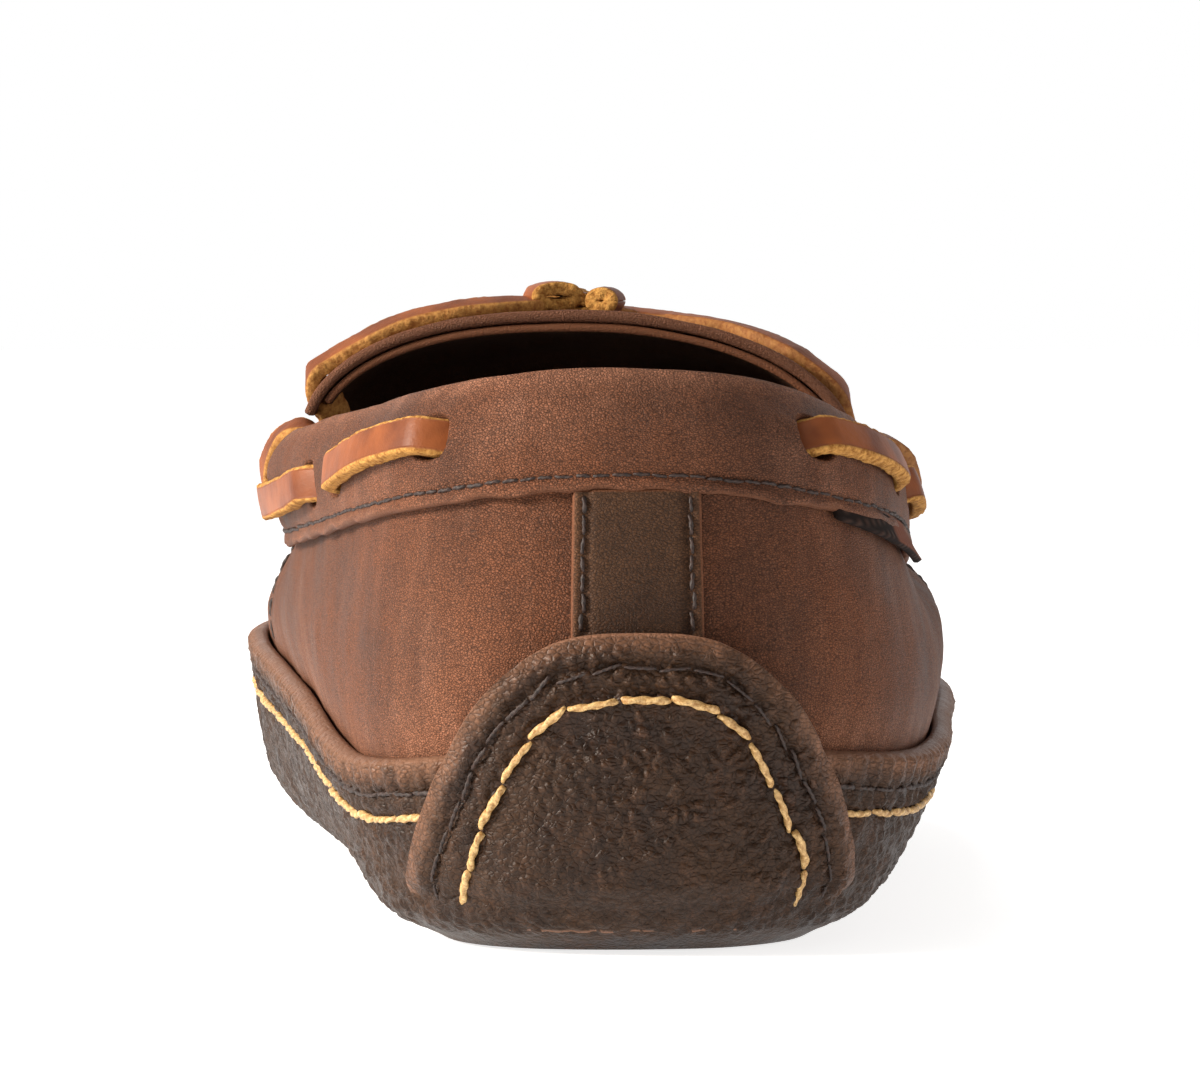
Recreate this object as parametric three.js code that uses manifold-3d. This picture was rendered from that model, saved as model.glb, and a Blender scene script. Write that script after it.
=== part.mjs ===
// A laced moccasin slipper for the right foot, built from separate leather, foam and thread pieces.
//
// Frame: millimetres, +Z up, +Y towards the toe, +X to the outer (lateral) side of the foot. The origin is under the
// middle of the slipper's bounding box, on the ground.
//
// The walls are described round the plan outline of the sole wall's top edge, the rim. A place on a wall has a
// "round" coordinate, counted in outline points from the middle of the heel along the inner side to the toe and
// back along the outer side, and an "up" coordinate, counted in levels from the wall's foot to its top.
import * as THREE from "three";
import { mergeVertices } from "three/addons/utils/BufferGeometryUtils.js";
import Module from "manifold-3d";

const wasm = await Module();
wasm.setup();

// ---- Driving dimensions, in millimetres ----
const SOLE_LENGTH = 290; // heel to toe, at the rim
const SOLE_WIDTH = 103.6; // across the ball of the foot, at the rim
const SOLE_THICKNESS = 2.8; // outer sole leather
const UPPER_THICKNESS = 1.6; // vamp, quarters and plug
const BAND_THICKNESS = 1.4; // collar band
const COUNTER_THICKNESS = 1.2; // heel stiffener
const LINING_THICKNESS = 0.9;
const STRIP_THICKNESS = 1.3; // heel strip
const STRIP_WIDTH = 16;
const TONGUE_THICKNESS = 1.6;
const TONGUE_LINING_THICKNESS = 1.2;
const PAD_THICKNESS = 3; // foam between the two soles
const INNER_SOLE_THICKNESS = 1.4;
const FOOTBED_THICKNESS = 4;
const SOCK_THICKNESS = 0.8;
const LACE_WIDTH = 5;
const LACE_THICKNESS = 2;
const COLLAR_ROLL = 6; // thickness of the folded collar
const FINE_THREAD = 0.8; // diameter
const WAXED_THREAD = 1.3; // diameter
const GAP = 0.35; // clearance between pieces that touch
const TONGUE_BACK = 98; // rear edge of the tongue, from the heel
const TONGUE_FRONT = 156; // front edge of the tongue, where it is sewn to the plug
const LABEL_LENGTH = 39;
const LABEL_DROP = 6;
const LABEL_THICKNESS = 1.2;

// ---- Plan outline of the rim: [share of half the width, share of the length] ----
const OUTLINE = [
  [0, 0], [-0.386, 0.0155], [-0.647, 0.069], [-0.763, 0.1655], [-0.849, 0.31],
  [-0.927, 0.448], [-0.996, 0.593], [-1, 0.707], [-0.898, 0.845], [-0.56, 0.9585],
  [-0.097, 1], [0.405, 0.976], [0.772, 0.89], [0.965, 0.7585], [1, 0.6205],
  [0.961, 0.4655], [0.888, 0.31], [0.82, 0.1725], [0.676, 0.0725], [0.386, 0.0155],
].map(([side, along]) => new THREE.Vector2((side * SOLE_WIDTH) / 2, along * SOLE_LENGTH));
const ROUND = OUTLINE.length;
const TOE = ROUND / 2;

// Heights and offsets are given at ten stations round the outline: heel, inner heel side, inner waist, inner ball,
// inner toe corner, toe, outer toe corner, outer ball, outer waist, outer heel side.
const STATIONS = [0, 2.5, 4.3, 7, 9, 10, 11, 13.2, 15.8, 17.6];
const RIM_HEIGHT = [26, 22.5, 27.5, 31, 29, 28, 28, 27, 25, 23];
const SEAM_HEIGHT = [59.2, 54, 48.5, 50, 43, 40, 43, 49, 46.5, 53];
const CREST_HEIGHT = [74, 69.5, 63, 52, 52, 52, 52, 52, 60.5, 68];
const SEAM_OFFSET = [-4, -3, -1.5, -15, -19, -21, -19, -15, -4, -4.5];
const CREST_OFFSET = [-8, -7, -1, -26, -26, -26, -26, -26, -11.5, -12];
const BULGE_HEIGHT = [38, 35, 38, 40, 37, 35, 37, 40, 37, 35];
const BULGE_OFFSET = [-1.5, -1.5, -0.5, -5, -6, -7, -6, -5, -1.5, -2];
const every = (value) => STATIONS.map(() => value);
const plus = (values, extra) => values.map((v) => v + extra);

// ---- Curves ----
// Cubic through values at knots; the slope at a knot follows its two neighbours.
function cubicThrough(knots, values, at) {
  const last = knots.length - 1;
  const x = Math.min(Math.max(at, knots[0]), knots[last]);
  let i = 0;
  while (i < last - 1 && x >= knots[i + 1]) i++;
  const slope = (k) => {
    const before = Math.max(k - 1, 0);
    const after = Math.min(k + 1, last);
    return (values[after] - values[before]) / (knots[after] - knots[before]);
  };
  const span = knots[i + 1] - knots[i];
  const s = (x - knots[i]) / span;
  const s2 = s * s;
  const s3 = s2 * s;
  return (
    (2 * s3 - 3 * s2 + 1) * values[i] +
    (s3 - 2 * s2 + s) * span * slope(i) +
    (3 * s2 - 2 * s3) * values[i + 1] +
    (s3 - s2) * span * slope(i + 1)
  );
}

// A value given at the stations, anywhere round the outline.
function atStation(values, round) {
  const knots = [...STATIONS.slice(-2).map((s) => s - ROUND), ...STATIONS, ...STATIONS.slice(0, 2).map((s) => s + ROUND)];
  const all = [...values.slice(-2), ...values, ...values.slice(0, 2)];
  return cubicThrough(knots, all, ((round % ROUND) + ROUND) % ROUND);
}

// The rim's plan position: a closed Catmull-Rom curve through the outline points.
function rimAt(round) {
  const i = Math.floor(round);
  const t = round - i;
  const p = [-1, 0, 1, 2].map((k) => OUTLINE[(((i + k) % ROUND) + ROUND) % ROUND]);
  const along = (a, b, c, d) => {
    return 0.5 * (2 * b + (c - a) * t + (2 * a - 5 * b + 4 * c - d) * t * t + (3 * (b - c) + d - a) * t * t * t);
  };
  return new THREE.Vector2(along(...p.map((v) => v.x)), along(...p.map((v) => v.y)));
}

// The rim's plan normal, pointing away from the foot.
function rimNormal(round) {
  const step = 1e-3;
  const along = rimAt(round + step).sub(rimAt(round - step)).normalize();
  return new THREE.Vector2(-along.y, along.x);
}

// ---- Walls: levels of [offset from the rim, height], each given at the stations ----
const SOLE_WALL = [
  [[-13, -13, -20, -17, -17, -17, -17, -17, -18, -13.5], every(0)],
  [[-6, -6, -11, -9.5, -8.5, -8.5, -8.5, -9, -9.5, -6.5], every(4)],
  [[-2.5, -3, -4.5, -3, -3, -3, -3, -3, -3.5, -2.5], every(12)],
  [every(0), RIM_HEIGHT],
];
const TUCK = 2.5; // how far the quarters run up inside the collar band
const TUCK_OFFSET = [-0.4, -0.4, -0.4, -5, -5, -6, -5, -5, -1.4, -1.2];
const UPPER_FOOT_HEIGHT = SOLE_THICKNESS + PAD_THICKNESS + INNER_SOLE_THICKNESS + 3 * GAP;
const UPPER_WALL = [
  [[-8.5, -8.5, -12, -11, -11, -11, -11, -11, -11.5, -9].map((v) => v - (SOLE_THICKNESS - 2.8)), every(UPPER_FOOT_HEIGHT)],
  [every(-SOLE_THICKNESS - 1.5 * GAP), RIM_HEIGHT],
  [BULGE_OFFSET, BULGE_HEIGHT],
  [SEAM_OFFSET, SEAM_HEIGHT],
  [plus(SEAM_OFFSET, 0).map((v, i) => v + TUCK_OFFSET[i]), plus(SEAM_HEIGHT, TUCK)],
];
const FLAP = 8.5; // how far the folded-in edge hangs below the crest
const BAND_OUT = BAND_THICKNESS + GAP + 0.05;
const BAND_WALL = [
  [plus(SEAM_OFFSET, BAND_OUT), SEAM_HEIGHT],
  [
    SEAM_OFFSET.map((v, i) => 0.5 * (v + BAND_OUT + CREST_OFFSET[i] + COLLAR_ROLL / 2) + 0.6),
    SEAM_HEIGHT.map((v, i) => 0.5 * (v + CREST_HEIGHT[i])),
  ],
  [plus(CREST_OFFSET, COLLAR_ROLL / 2 - 0.4), plus(CREST_HEIGHT, -COLLAR_ROLL / 2)],
  [CREST_OFFSET, CREST_HEIGHT],
  [plus(CREST_OFFSET, -COLLAR_ROLL / 2), plus(CREST_HEIGHT, -COLLAR_ROLL / 2)],
  [plus(CREST_OFFSET, -COLLAR_ROLL / 2 - 0.6), plus(CREST_HEIGHT, -FLAP)],
];

// [offset, height] on a wall.
function profile(wall, round, up) {
  const knots = wall.map((_, i) => i);
  return [0, 1].map((part) => cubicThrough(knots, wall.map((level) => atStation(level[part], round)), up));
}

// A point in space on a wall, sunk into it by a depth measured square to the wall's profile.
function wallPoint(wall, round, up, depth = 0) {
  const step = 1e-3;
  const [o, z] = profile(wall, round, up);
  const [o0, z0] = profile(wall, round, Math.max(up - step, 0));
  const [o1, z1] = profile(wall, round, Math.min(up + step, wall.length - 1));
  const length = Math.hypot(o1 - o0, z1 - z0);
  const offset = o - (depth * (z1 - z0)) / length;
  const plan = rimAt(round).addScaledVector(rimNormal(round), offset);
  return new THREE.Vector3(plan.x, plan.y, z + (depth * (o1 - o0)) / length);
}

// The direction out of a wall at a place on it.
function wallNormal(wall, round, up) {
  return wallPoint(wall, round, up, -1).sub(wallPoint(wall, round, up, 1)).normalize();
}

// ---- Meshes ----
const steps = (from, to, count) => Array.from({ length: count + 1 }, (_, i) => from + ((to - from) * i) / count);

// A geometry from triangles of points, turned so that its faces point out.
function geometryOf(triangles) {
  const volume = triangles.reduce((sum, [a, b, c]) => sum + a.dot(b.clone().cross(c)), 0);
  const points = triangles.flatMap(([a, b, c]) => (volume < 0 ? [a, c, b] : [a, b, c]));
  return new THREE.BufferGeometry().setFromPoints(points);
}
const quad = (a, b, c, d) => [[a, b, c], [a, c, d]];

// A sheet with thickness: the space between two grids of points with the same rows and columns.
function sheet(outer, inner) {
  const triangles = [];
  const rows = outer.length - 1;
  const columns = outer[0].length - 1;
  for (let i = 0; i < rows; i++) {
    for (let j = 0; j < columns; j++) {
      triangles.push(...quad(outer[i][j], outer[i + 1][j], outer[i + 1][j + 1], outer[i][j + 1]));
      triangles.push(...quad(inner[i][j], inner[i][j + 1], inner[i + 1][j + 1], inner[i + 1][j]));
    }
    triangles.push(...quad(outer[i][0], inner[i][0], inner[i + 1][0], outer[i + 1][0]));
    triangles.push(...quad(outer[i][columns], outer[i + 1][columns], inner[i + 1][columns], inner[i][columns]));
  }
  for (let j = 0; j < columns; j++) {
    triangles.push(...quad(outer[0][j], outer[0][j + 1], inner[0][j + 1], inner[0][j]));
    triangles.push(...quad(outer[rows][j], inner[rows][j], inner[rows][j + 1], outer[rows][j + 1]));
  }
  return geometryOf(triangles);
}

// A sheet that follows a wall, between two depths.
function wallSheet(wall, rounds, ups, shallow, deep) {
  const grid = (depth) => rounds.map((r) => ups.map((u) => wallPoint(wall, r, u, depth)));
  return sheet(grid(shallow), grid(deep));
}

// A solid swept through closed sections, capped at both ends.
function sweep(sections) {
  const triangles = [];
  const sides = sections[0].length;
  for (let i = 0; i + 1 < sections.length; i++) {
    for (let j = 0; j < sides; j++) {
      const k = (j + 1) % sides;
      triangles.push(...quad(sections[i][j], sections[i + 1][j], sections[i + 1][k], sections[i][k]));
    }
  }
  for (let j = 1; j + 1 < sides; j++) {
    triangles.push([sections[0][0], sections[0][j], sections[0][j + 1]]);
    const end = sections[sections.length - 1];
    triangles.push([end[0], end[j + 1], end[j]]);
  }
  return geometryOf(triangles);
}

// Frames along a path of {at, out}: the direction along it, out of the surface below it, and across it.
function frames(path) {
  return path.map(({ at, out }, i) => {
    const before = path[Math.max(i - 1, 0)].at;
    const after = path[Math.min(i + 1, path.length - 1)].at;
    const along = after.clone().sub(before).normalize();
    const across = along.clone().cross(out).normalize();
    return { at, across, out: across.clone().cross(along).normalize() };
  });
}
const placed = ({ at, across, out }, x, y) => at.clone().addScaledVector(across, x).addScaledVector(out, y);

// A flat strap along a path.
function strap(path, width, thickness) {
  const corners = [[-1, -1], [1, -1], [1, 1], [-1, 1]];
  return sweep(frames(path).map((f) => corners.map(([x, y]) => placed(f, (x * width) / 2, (y * thickness) / 2))));
}

// A round thread along a path.
const THREAD_SIDES = 5;
function thread(path, diameter) {
  const turns = steps(0, 2 * Math.PI, THREAD_SIDES).slice(0, -1);
  const ring = (f) => turns.map((a) => placed(f, (Math.cos(a) * diameter) / 2, (Math.sin(a) * diameter) / 2));
  return sweep(frames(path).map(ring));
}

// A flat plate whose outline is the rim moved inwards by the given amounts.
function plate(offsets, low, thickness, count = 44) {
  const outline = steps(0, ROUND, count).slice(0, -1).map((r) => {
    return rimAt(r).addScaledVector(rimNormal(r), atStation(offsets, r));
  });
  const shape = new THREE.Shape(outline);
  return new THREE.ExtrudeGeometry(shape, { depth: thickness, bevelEnabled: false }).translate(0, 0, low);
}

// ---- Joining and cutting solids ----
function toSolid(geometry) {
  const bare = geometry.clone();
  bare.deleteAttribute("normal");
  bare.deleteAttribute("uv");
  const merged = mergeVertices(bare, 1e-4);
  return new wasm.Manifold(
    new wasm.Mesh({
      numProp: 3,
      vertProperties: merged.attributes.position.array,
      triVerts: new Uint32Array(merged.index.array),
    }),
  );
}
function toGeometry(solid) {
  const mesh = solid.getMesh();
  return new THREE.BufferGeometry()
    .setAttribute("position", new THREE.BufferAttribute(new Float32Array(mesh.vertProperties), 3))
    .setIndex(new THREE.BufferAttribute(new Uint32Array(mesh.triVerts), 1));
}
const join = (...parts) => toGeometry(parts.map(toSolid).reduce((a, b) => a.add(b)));
const cut = (part, ...tools) => toGeometry(tools.map(toSolid).reduce((a, b) => a.subtract(b), toSolid(part)));

// ---- Leather finishes ----
const finish = (color, roughness) => new THREE.MeshStandardMaterial({ color, roughness, metalness: 0 });
const brownNubuck = finish(0x7a5040, 0.75);
const darkNubuck = finish(0x553b2d, 0.75);
const pebbledHide = finish(0x4a392e, 0.5);
const rawhide = finish(0xb06940, 0.5);
const liningLeather = finish(0x2a2220, 0.8);
const foam = finish(0x8c8578, 0.95);
const board = finish(0x9a7b5a, 0.9);
const darkThread = finish(0x33241d, 0.6);
const waxedThread = finish(0xd8a860, 0.6);
const wovenTape = finish(0x211913, 0.8);

const moccasin = new THREE.Group();
const shoe = new THREE.Group();
moccasin.add(shoe);
function add(name, geometry, material) {
  const mesh = new THREE.Mesh(geometry, material);
  mesh.name = name;
  shoe.add(mesh);
  return mesh;
}

// ---- Outer sole: a bowl of thick hide with a tab folded up over the heel ----
const TAB_FOOT = 6; // height where the tab leaves the bowl
const TAB_TOP = 40.5;
const TAB_THICKNESS = 2.2;
const TAB_SINK = 1; // how far the tab is set into the bowl's wall
const TAB_LEVELS = [TAB_FOOT, 16, 25, 33, 38.2, TAB_TOP];
const TAB_HALF_WIDTH = [29.2, 26.6, 23.6, 18.2, 12.3, 4];
const STRIP_DEPTH = -GAP - STRIP_THICKNESS; // the heel strip's outer face, as a depth on the upper's wall

// The round coordinate whose rim point lies a distance x to one side of the heel's middle.
function roundAtSide(x) {
  let low = -2.6;
  let high = 2.6;
  for (let i = 0; i < 30; i++) {
    const middle = (low + high) / 2;
    if (rimAt(middle).x > x) low = middle;
    else high = middle;
  }
  return (low + high) / 2;
}

// How far up a wall a height is reached, between two levels.
function upAt(wall, round, height, low = 0, high = wall.length - 1) {
  for (let i = 0; i < 30; i++) {
    const middle = (low + high) / 2;
    if (profile(wall, round, middle)[1] < height) low = middle;
    else high = middle;
  }
  return (low + high) / 2;
}

// A place on the tab: it lies on the bowl's wall up to the rim and then on the heel strip.
function tabPoint(share, height, depth) {
  const round = roundAtSide(share * cubicThrough(TAB_LEVELS, TAB_HALF_WIDTH, height));
  const rim = atStation(RIM_HEIGHT, round);
  const onBowl = profile(SOLE_WALL, round, upAt(SOLE_WALL, round, Math.min(height, rim)))[0] - TAB_SINK;
  const above = upAt(UPPER_WALL, round, Math.max(height, rim));
  const onStrip = profile(UPPER_WALL, round, above)[0] - STRIP_DEPTH + 2 * GAP;
  const rise = THREE.MathUtils.smoothstep(height, rim - 6, rim + 6);
  const inner = THREE.MathUtils.lerp(onBowl, Math.max(onStrip, onBowl), rise);
  const plan = rimAt(round).addScaledVector(rimNormal(round), inner + TAB_THICKNESS - depth);
  return new THREE.Vector3(plan.x, plan.y, height);
}

function bowl() {
  const rounds = steps(0, ROUND, 64).slice(0, -1);
  const ups = [0, 0.5, 1, 2, 3];
  const wall = (depth) => rounds.map((r) => ups.map((u) => wallPoint(SOLE_WALL, r, u, depth)));
  const outside = wall(0);
  const inside = wall(SOLE_THICKNESS);
  outside.forEach((row) => (row[0].z = 0));
  inside.forEach((row) => (row[0].z = SOLE_THICKNESS));
  const under = new THREE.Vector3(0, SOLE_LENGTH / 2, 0);
  const floor = new THREE.Vector3(0, SOLE_LENGTH / 2, SOLE_THICKNESS);
  const top = ups.length - 1;
  const triangles = rounds.flatMap((_, i) => {
    const next = (i + 1) % rounds.length;
    const faces = [[under, outside[next][0], outside[i][0]], [floor, inside[i][0], inside[next][0]]];
    for (let j = 0; j < top; j++) {
      faces.push(...quad(outside[i][j], outside[next][j], outside[next][j + 1], outside[i][j + 1]));
      faces.push(...quad(inside[i][j], inside[i][j + 1], inside[next][j + 1], inside[next][j]));
    }
    faces.push(...quad(outside[i][top], outside[next][top], inside[next][top], inside[i][top]));
    return faces;
  });
  return geometryOf(triangles);
}
function heelTab() {
  const heights = [TAB_FOOT, 10, 16, 22, 28, 33, 37, 39.2, TAB_TOP];
  const grid = (depth) => heights.map((z) => steps(-1, 1, 12).map((share) => tabPoint(share, z, depth)));
  return sheet(grid(0), grid(TAB_THICKNESS));
}
add("outer_sole", join(bowl(), heelTab()), pebbledHide);

// ---- Layers under the foot ----
const FLOOR = SOLE_WALL[0][0];
const PAD_LOW = SOLE_THICKNESS + GAP;
const BOARD_LOW = PAD_LOW + PAD_THICKNESS + GAP;
const FOOTBED_LOW = BOARD_LOW + INNER_SOLE_THICKNESS + GAP;
const SOCK_LOW = FOOTBED_LOW + FOOTBED_THICKNESS + GAP;
const SOCK_TOP = SOCK_LOW + SOCK_THICKNESS;
// The widest outline, as offsets from the rim, that stays clear inside a wall of a given thickness at a height.
const within = (wall, height, thickness) => {
  return STATIONS.map((r) => profile(wall, r, upAt(wall, r, height))[0] - 1.5 * thickness - 0.8);
};
const inPad = within(SOLE_WALL, PAD_LOW, SOLE_THICKNESS).map((v, i) => Math.min(v, FLOOR[i] - 1));
add("sole_pad", plate(inPad, PAD_LOW, PAD_THICKNESS), foam);
const inBoard = within(SOLE_WALL, BOARD_LOW, SOLE_THICKNESS);
add("inner_sole", plate(inBoard, BOARD_LOW, INNER_SOLE_THICKNESS), board);
const inFootbed = within(UPPER_WALL, FOOTBED_LOW + 0.1, UPPER_THICKNESS);
add("footbed", plate(inFootbed, FOOTBED_LOW, FOOTBED_THICKNESS), foam);
add("sock_liner", plate(inFootbed, SOCK_LOW, SOCK_THICKNESS), liningLeather);

// ---- Upper ----
const VAMP_TOP = 3;
const seamPoint = (round) => wallPoint(UPPER_WALL, round, VAMP_TOP);

// The round coordinate, on one side, where a line round the upper is at a distance from the heel.
function roundAlong(y, low, high, line = seamPoint) {
  for (let i = 0; i < 30; i++) {
    const middle = (low + high) / 2;
    if (line(middle).y < y) low = middle;
    else high = middle;
  }
  return (low + high) / 2;
}
const SEAM_BACK = TONGUE_FRONT - 3; // where the quarters meet the vamp
const SIDE_SEAM = [roundAlong(SEAM_BACK, 0, TOE), roundAlong(SEAM_BACK, ROUND, TOE)];
const HALF_SEAM = 0.012; // half the gap in a butted seam, as a round coordinate
const QUARTER_TOP = UPPER_WALL.length - 1;
const wallLevels = [0, 0.5, 1, 1.5, 2, 2.5, 3];
const quarterLevels = [...wallLevels, QUARTER_TOP];

function upper(from, to, columns, levels) {
  return wallSheet(UPPER_WALL, steps(from, to, columns), levels, 0, UPPER_THICKNESS);
}
add("quarter_medial", upper(HALF_SEAM, SIDE_SEAM[0] - HALF_SEAM, 16, quarterLevels), brownNubuck);
add("quarter_lateral", upper(SIDE_SEAM[1] + HALF_SEAM, ROUND - HALF_SEAM, 16, quarterLevels), brownNubuck);
add("vamp", upper(SIDE_SEAM[0] + HALF_SEAM, SIDE_SEAM[1] - HALF_SEAM, 30, wallLevels), brownNubuck);

// The heel strip covers the seam between the quarters, from the sole's rim to the collar.
const STRIP_ROUND = roundAtSide(-STRIP_WIDTH / 2);
function heelStrip() {
  const rounds = steps(-STRIP_ROUND, STRIP_ROUND, 6);
  const low = RIM_HEIGHT[0] + 3 * GAP;
  const high = SEAM_HEIGHT[0] - 3 * GAP;
  const grid = (depth) => rounds.map((r) => {
    return steps(low, high, 8).map((z) => wallPoint(UPPER_WALL, r, upAt(UPPER_WALL, r, z), depth));
  });
  return sheet(grid(STRIP_DEPTH), grid(-GAP));
}
add("heel_strip", heelStrip(), darkNubuck);

// ---- Inside the upper ----
const COUNTER_ROUND = 2.6;
const LINING_LOW = 0.4; // wall level where the linings start, above the sock
const INNER = UPPER_THICKNESS + GAP;
const counterLevels = [0.7, 1.2, 1.7, 2.2, 2.6];
add(
  "heel_counter",
  wallSheet(UPPER_WALL, steps(-COUNTER_ROUND, COUNTER_ROUND, 16), counterLevels, INNER, INNER + COUNTER_THICKNESS),
  board,
);
const QUARTER_LINING = INNER + COUNTER_THICKNESS + GAP;
const liningRounds = steps(SIDE_SEAM[1] - ROUND + 0.05, SIDE_SEAM[0] - 0.05, 26);
const quarterLiningLevels = [LINING_LOW, 1, 1.5, 2, 2.5, 3, 3.4];
add(
  "quarter_lining",
  wallSheet(UPPER_WALL, liningRounds, quarterLiningLevels, QUARTER_LINING, QUARTER_LINING + LINING_THICKNESS),
  liningLeather,
);
add(
  "vamp_lining",
  wallSheet(
    UPPER_WALL,
    steps(SIDE_SEAM[0] + 0.05, SIDE_SEAM[1] - 0.05, 30),
    [LINING_LOW, 1, 1.7, 2.3, 2.9],
    INNER,
    INNER + LINING_THICKNESS,
  ),
  liningLeather,
);

// ---- Plug: the raised panel over the toes, inside the ring of the vamp ----
const PLUG_BACK = TONGUE_FRONT + 1.2;
const PLUG_EDGE = 1.3; // how far the plug's edge stays inside the vamp's
const PLUG_TIP = 0.42; // half the width of the plug's front end, as a round coordinate
const PLUG_TURN = 30; // length over which its rows bend from straight to the toe's curve
function plugEdge(round) {
  const inward = rimNormal(round).multiplyScalar(-PLUG_EDGE);
  return seamPoint(round).add(new THREE.Vector3(inward.x, inward.y, 0));
}
const PLUG_FRONT = Math.min(plugEdge(TOE - PLUG_TIP).y, plugEdge(TOE + PLUG_TIP).y);
const PLUG_STATIONS = [0, 0.3, 0.57, 0.84, 1].map((share) => PLUG_BACK + share * (PLUG_FRONT - PLUG_BACK));
const PLUG_CROWN = [21, 14.5, 9.5, 5, 1.5]; // height of the middle above the edges

// A place on the plug's outer face: share runs from -1 on the inner side to 1 on the outer side.
function plugSurface(y, share) {
  const left = roundAlong(y, 4, TOE, plugEdge);
  const right = roundAlong(y, ROUND - 4, TOE, plugEdge);
  const t = (share + 1) / 2;
  const straight = plugEdge(left).lerp(plugEdge(right), t);
  const curved = plugEdge(THREE.MathUtils.lerp(left, right, t));
  const place = straight.lerp(curved, THREE.MathUtils.smoothstep(y, PLUG_FRONT - PLUG_TURN, PLUG_FRONT));
  place.z += cubicThrough(PLUG_STATIONS, PLUG_CROWN, y) * (1 - Math.abs(share) ** 2.4);
  return place;
}

// A place below a surface of (y, share), square to it.
function below(surface, y, share, depth) {
  const step = 0.01;
  const lengthways = surface(y + step, share).sub(surface(y - step, share));
  const sideways = surface(y, share + step).sub(surface(y, share - step));
  const down = lengthways.cross(sideways).normalize();
  return surface(y, share).addScaledVector(down, depth);
}
function surfaceSheet(surface, from, to, rows, reach, columns, shallow, deep) {
  const grid = (depth) => steps(from, to, rows).map((y) => {
    return steps(-reach, reach, columns).map((share) => below(surface, y, share, depth));
  });
  return sheet(grid(shallow), grid(deep));
}
add("plug", surfaceSheet(plugSurface, PLUG_BACK, PLUG_FRONT - 0.05, 12, 1, 14, 0, UPPER_THICKNESS), brownNubuck);
const LINING_SHORT = 0.17 * (PLUG_FRONT - PLUG_BACK); // the plug turns too sharply there to be lined
add(
  "plug_lining",
  surfaceSheet(plugSurface, PLUG_BACK, PLUG_FRONT - LINING_SHORT, 8, 0.9, 10, INNER, INNER + LINING_THICKNESS),
  liningLeather,
);

// ---- Collar: a band folded over at the top, with slots for the lace ----
const BAND_CREST = 3; // wall level of the fold
const BAND_FRONT = TONGUE_FRONT - 10;
const BAND_END = [roundAlong(BAND_FRONT, 0, TOE), roundAlong(BAND_FRONT, ROUND, TOE)];
const bandRounds = steps(BAND_END[1] - ROUND, BAND_END[0], 44);
const SLOT_LENGTH = 1.72 * LACE_WIDTH;
const SLOT_PLAY = 0.1 * LACE_WIDTH; // clearance above and below the lace in a slot
// Height of the lace's middle plus half the roll, by distance from the heel, on the inner and the outer side.
const LACE_ALONG = [0, 12, 30, 45, 60, 68, 85, 105, 122];
const LACE_HEIGHT = [
  [69, 68, 65.6, 63.6, 61.6, 60.2, 58.4, 57.4, 57],
  [69, 68, 64.8, 62.6, 60.6, 59.2, 57.6, 56.8, 56.6],
];
const SLOTS_ALONG = [
  [12, 59, 68, 104, 116],
  [15, 59, 68, 104, 116],
];
const LACE_OUT = -GAP - LACE_THICKNESS / 2; // depth of the lace's middle outside the band
const LACE_IN = BAND_THICKNESS + 2 * GAP + LACE_THICKNESS / 2; // and inside the fold
const LACE_DIVE = 3.4; // half the length over which it passes through a slot

// The lace's route along one side of the band: places, distances along it and the slots' distances.
function laceRoute(side) {
  const direction = side === 0 ? 1 : -1;
  const places = steps(0, 4.9, 196).map((r) => {
    const round = direction * r;
    const plan = rimAt(round);
    const z = cubicThrough(LACE_ALONG, LACE_HEIGHT[side], plan.y) - COLLAR_ROLL / 2;
    return { round, up: upAt(BAND_WALL, round, z, 0, BAND_CREST) };
  });
  let run = 0;
  let last = null;
  for (const place of places) {
    place.at = wallPoint(BAND_WALL, place.round, place.up);
    place.run = last ? (run += place.at.distanceTo(last)) : 0;
    last = place.at;
  }
  const slots = SLOTS_ALONG[side].map((y) => places.find((p) => p.at.y >= y).run);
  return { places, slots };
}
const ROUTES = [laceRoute(0), laceRoute(1)];
function placeAt(route, run) {
  const next = route.places.findIndex((p) => p.run >= run);
  const b = route.places[Math.max(next, 1)];
  const a = route.places[Math.max(next, 1) - 1];
  const t = (run - a.run) / (b.run - a.run);
  return { round: THREE.MathUtils.lerp(a.round, b.round, t), up: THREE.MathUtils.lerp(a.up, b.up, t) };
}

// The lace's depth on the band: inside the fold up to the first slot, then out and in by turns.
function laceDepth(route, run) {
  return route.slots.reduce((depth, slot, i) => {
    const through = THREE.MathUtils.smoothstep(run, slot - LACE_DIVE, slot + LACE_DIVE);
    const way = i % 2 === 0 ? LACE_OUT - LACE_IN : LACE_IN - LACE_OUT;
    return depth + way * through;
  }, LACE_IN);
}
function lacePlace(route, run) {
  const { round, up } = placeAt(route, run);
  return { at: wallPoint(BAND_WALL, round, up, laceDepth(route, run)), out: wallNormal(BAND_WALL, round, up) };
}

// A short bar, square to the band, that cuts one slot.
function slotTool(route, slot) {
  const { round, up } = placeAt(route, slot);
  const ends = [-SLOT_LENGTH / 2, SLOT_LENGTH / 2].map((d) => placeAt(route, slot + d));
  const path = ends.map((e) => {
    return { at: wallPoint(BAND_WALL, e.round, e.up, BAND_THICKNESS / 2), out: wallNormal(BAND_WALL, round, up) };
  });
  return strap(path, LACE_WIDTH + 2 * SLOT_PLAY, BAND_THICKNESS + 2);
}
function collarBand() {
  const levels = [0, 0.5, 1, 1.5, 2, 2.5, 3, 3.5, 4, 5];
  const band = wallSheet(BAND_WALL, bandRounds, levels, 0, BAND_THICKNESS);
  return cut(band, ...ROUTES.flatMap((route) => route.slots.map((slot) => slotTool(route, slot))));
}
add("collar_band", collarBand(), brownNubuck);

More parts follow.
